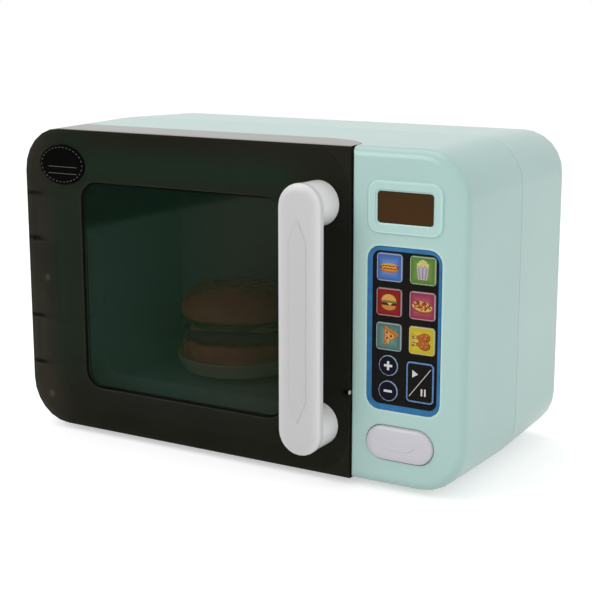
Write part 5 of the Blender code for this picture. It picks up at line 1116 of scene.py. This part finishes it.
def sow_seeds(bun):
    """Sesame seeds on the play bun: one seed, shaped once and copied."""
    piece = start_piece("bun_seeds", food_finish("seed_plastic", (0.52, 0.27, 0.11), 0.4, 900, 0.00002))
    seed = None
    for spot, turn in seed_places(bun):
        if seed is None:
            bpy.ops.mesh.primitive_uv_sphere_add(segments=10, ring_count=6, radius=0.5, location=spot)
            bpy.ops.transform.resize(value=SEED_SIZE, center_override=spot)
        else:
            bpy.ops.mesh.duplicate()
            bpy.ops.transform.translate(value=spot - seed)
        turn_selected(turn, "Z", spot)
        seed = spot
    bpy.ops.object.mode_set(mode="OBJECT")
    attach(piece, BODY_OF["food_bun_top"])


def aim(item, target):
    direction = Vector(target) - item.location
    item.rotation_euler = direction.to_track_quat("-Z", "Y").to_euler()


def make_camera():
    data = bpy.data.cameras.new("photo_camera")
    data.sensor_width = CAMERA_SENSOR
    data.lens = CAMERA_LENS
    data.shift_x, data.shift_y = CAMERA_SHIFT
    data.clip_start, data.clip_end = CAMERA_CLIP
    camera = new_item("photo_camera", data)
    camera.location = CAMERA_PLACE
    aim(camera, CAMERA_TARGET)
    camera.rotation_euler.rotate_axis("Z", math.radians(CAMERA_ROLL))
    bpy.context.scene.camera = camera


def add_lamp(name, place, target, size, power, shine):
    data = bpy.data.lights.new(name, "AREA")
    data.shape = "SQUARE"
    data.size = size
    data.energy = power
    lamp = new_item(name, data)
    lamp.location = place
    lamp.visible_glossy = shine
    aim(lamp, target)


def seen_share(owner):
    """1 for what the camera sees straight, mirrored or through clear plastic, and 0 for light."""
    paths = add_node(owner, "ShaderNodeLightPath").outputs
    kinds = [paths[kind] for kind in ("Is Camera Ray", "Is Glossy Ray", "Is Transmission Ray")]
    return maths(owner, "MAXIMUM", *kinds)


def paper_finish():
    """White studio paper. The camera sees it lifted to white, and it keeps the object's shadow."""
    made = new_finish("studio_paper", PAPER_WHITE, 0.9, Specular_IOR_Level=0.1)
    add_tone(made, per_metre=3, drift=0.006)
    shader = shader_of(made)
    shader.inputs["Emission Color"].default_value = (1, 1, 1, 1)
    wire(made, maths(made, "MULTIPLY", seen_share(made), PAPER_LIFT), shader.inputs["Emission Strength"])
    return made


def make_floor():
    bpy.ops.object.select_all(action="DESELECT")
    bpy.ops.mesh.primitive_plane_add(size=PAPER_SIZE, location=(0, 0, 0))
    floor = bpy.context.object
    floor.name = "studio_floor"
    floor.data.materials.append(paper_finish())


def white_light(world, strength):
    node = add_node(world, "ShaderNodeBackground")
    node.inputs["Color"].default_value = (1, 1, 1, 1)
    node.inputs["Strength"].default_value = strength
    return node.outputs[0]


def make_world():
    """A white room: softer as light on the object than it is where the camera sees it."""
    world = bpy.data.worlds.new("studio_white")
    world.use_nodes = True
    bpy.context.scene.world = world
    world.node_tree.nodes.clear()
    mix = add_node(world, "ShaderNodeMixShader")
    sources = (seen_share(world), white_light(world, ROOM_LIGHT), white_light(world, ROOM_SEEN))
    for source, socket in zip(sources, mix.inputs):
        wire(world, source, socket)
    output = add_node(world, "ShaderNodeOutputWorld")
    wire(world, mix.outputs[0], output.inputs["Surface"])


def make_studio():
    bpy.context.scene.view_settings.view_transform = "Standard"
    make_camera()
    make_world()
    make_floor()
    for lamp in LAMPS:
        add_lamp(*lamp)


make_studio()
dress_frame()
print_pictures()
stitch_badge()
fit_catch_tip()
sow_seeds(bpy.data.objects["smooth_food_bun_top"])
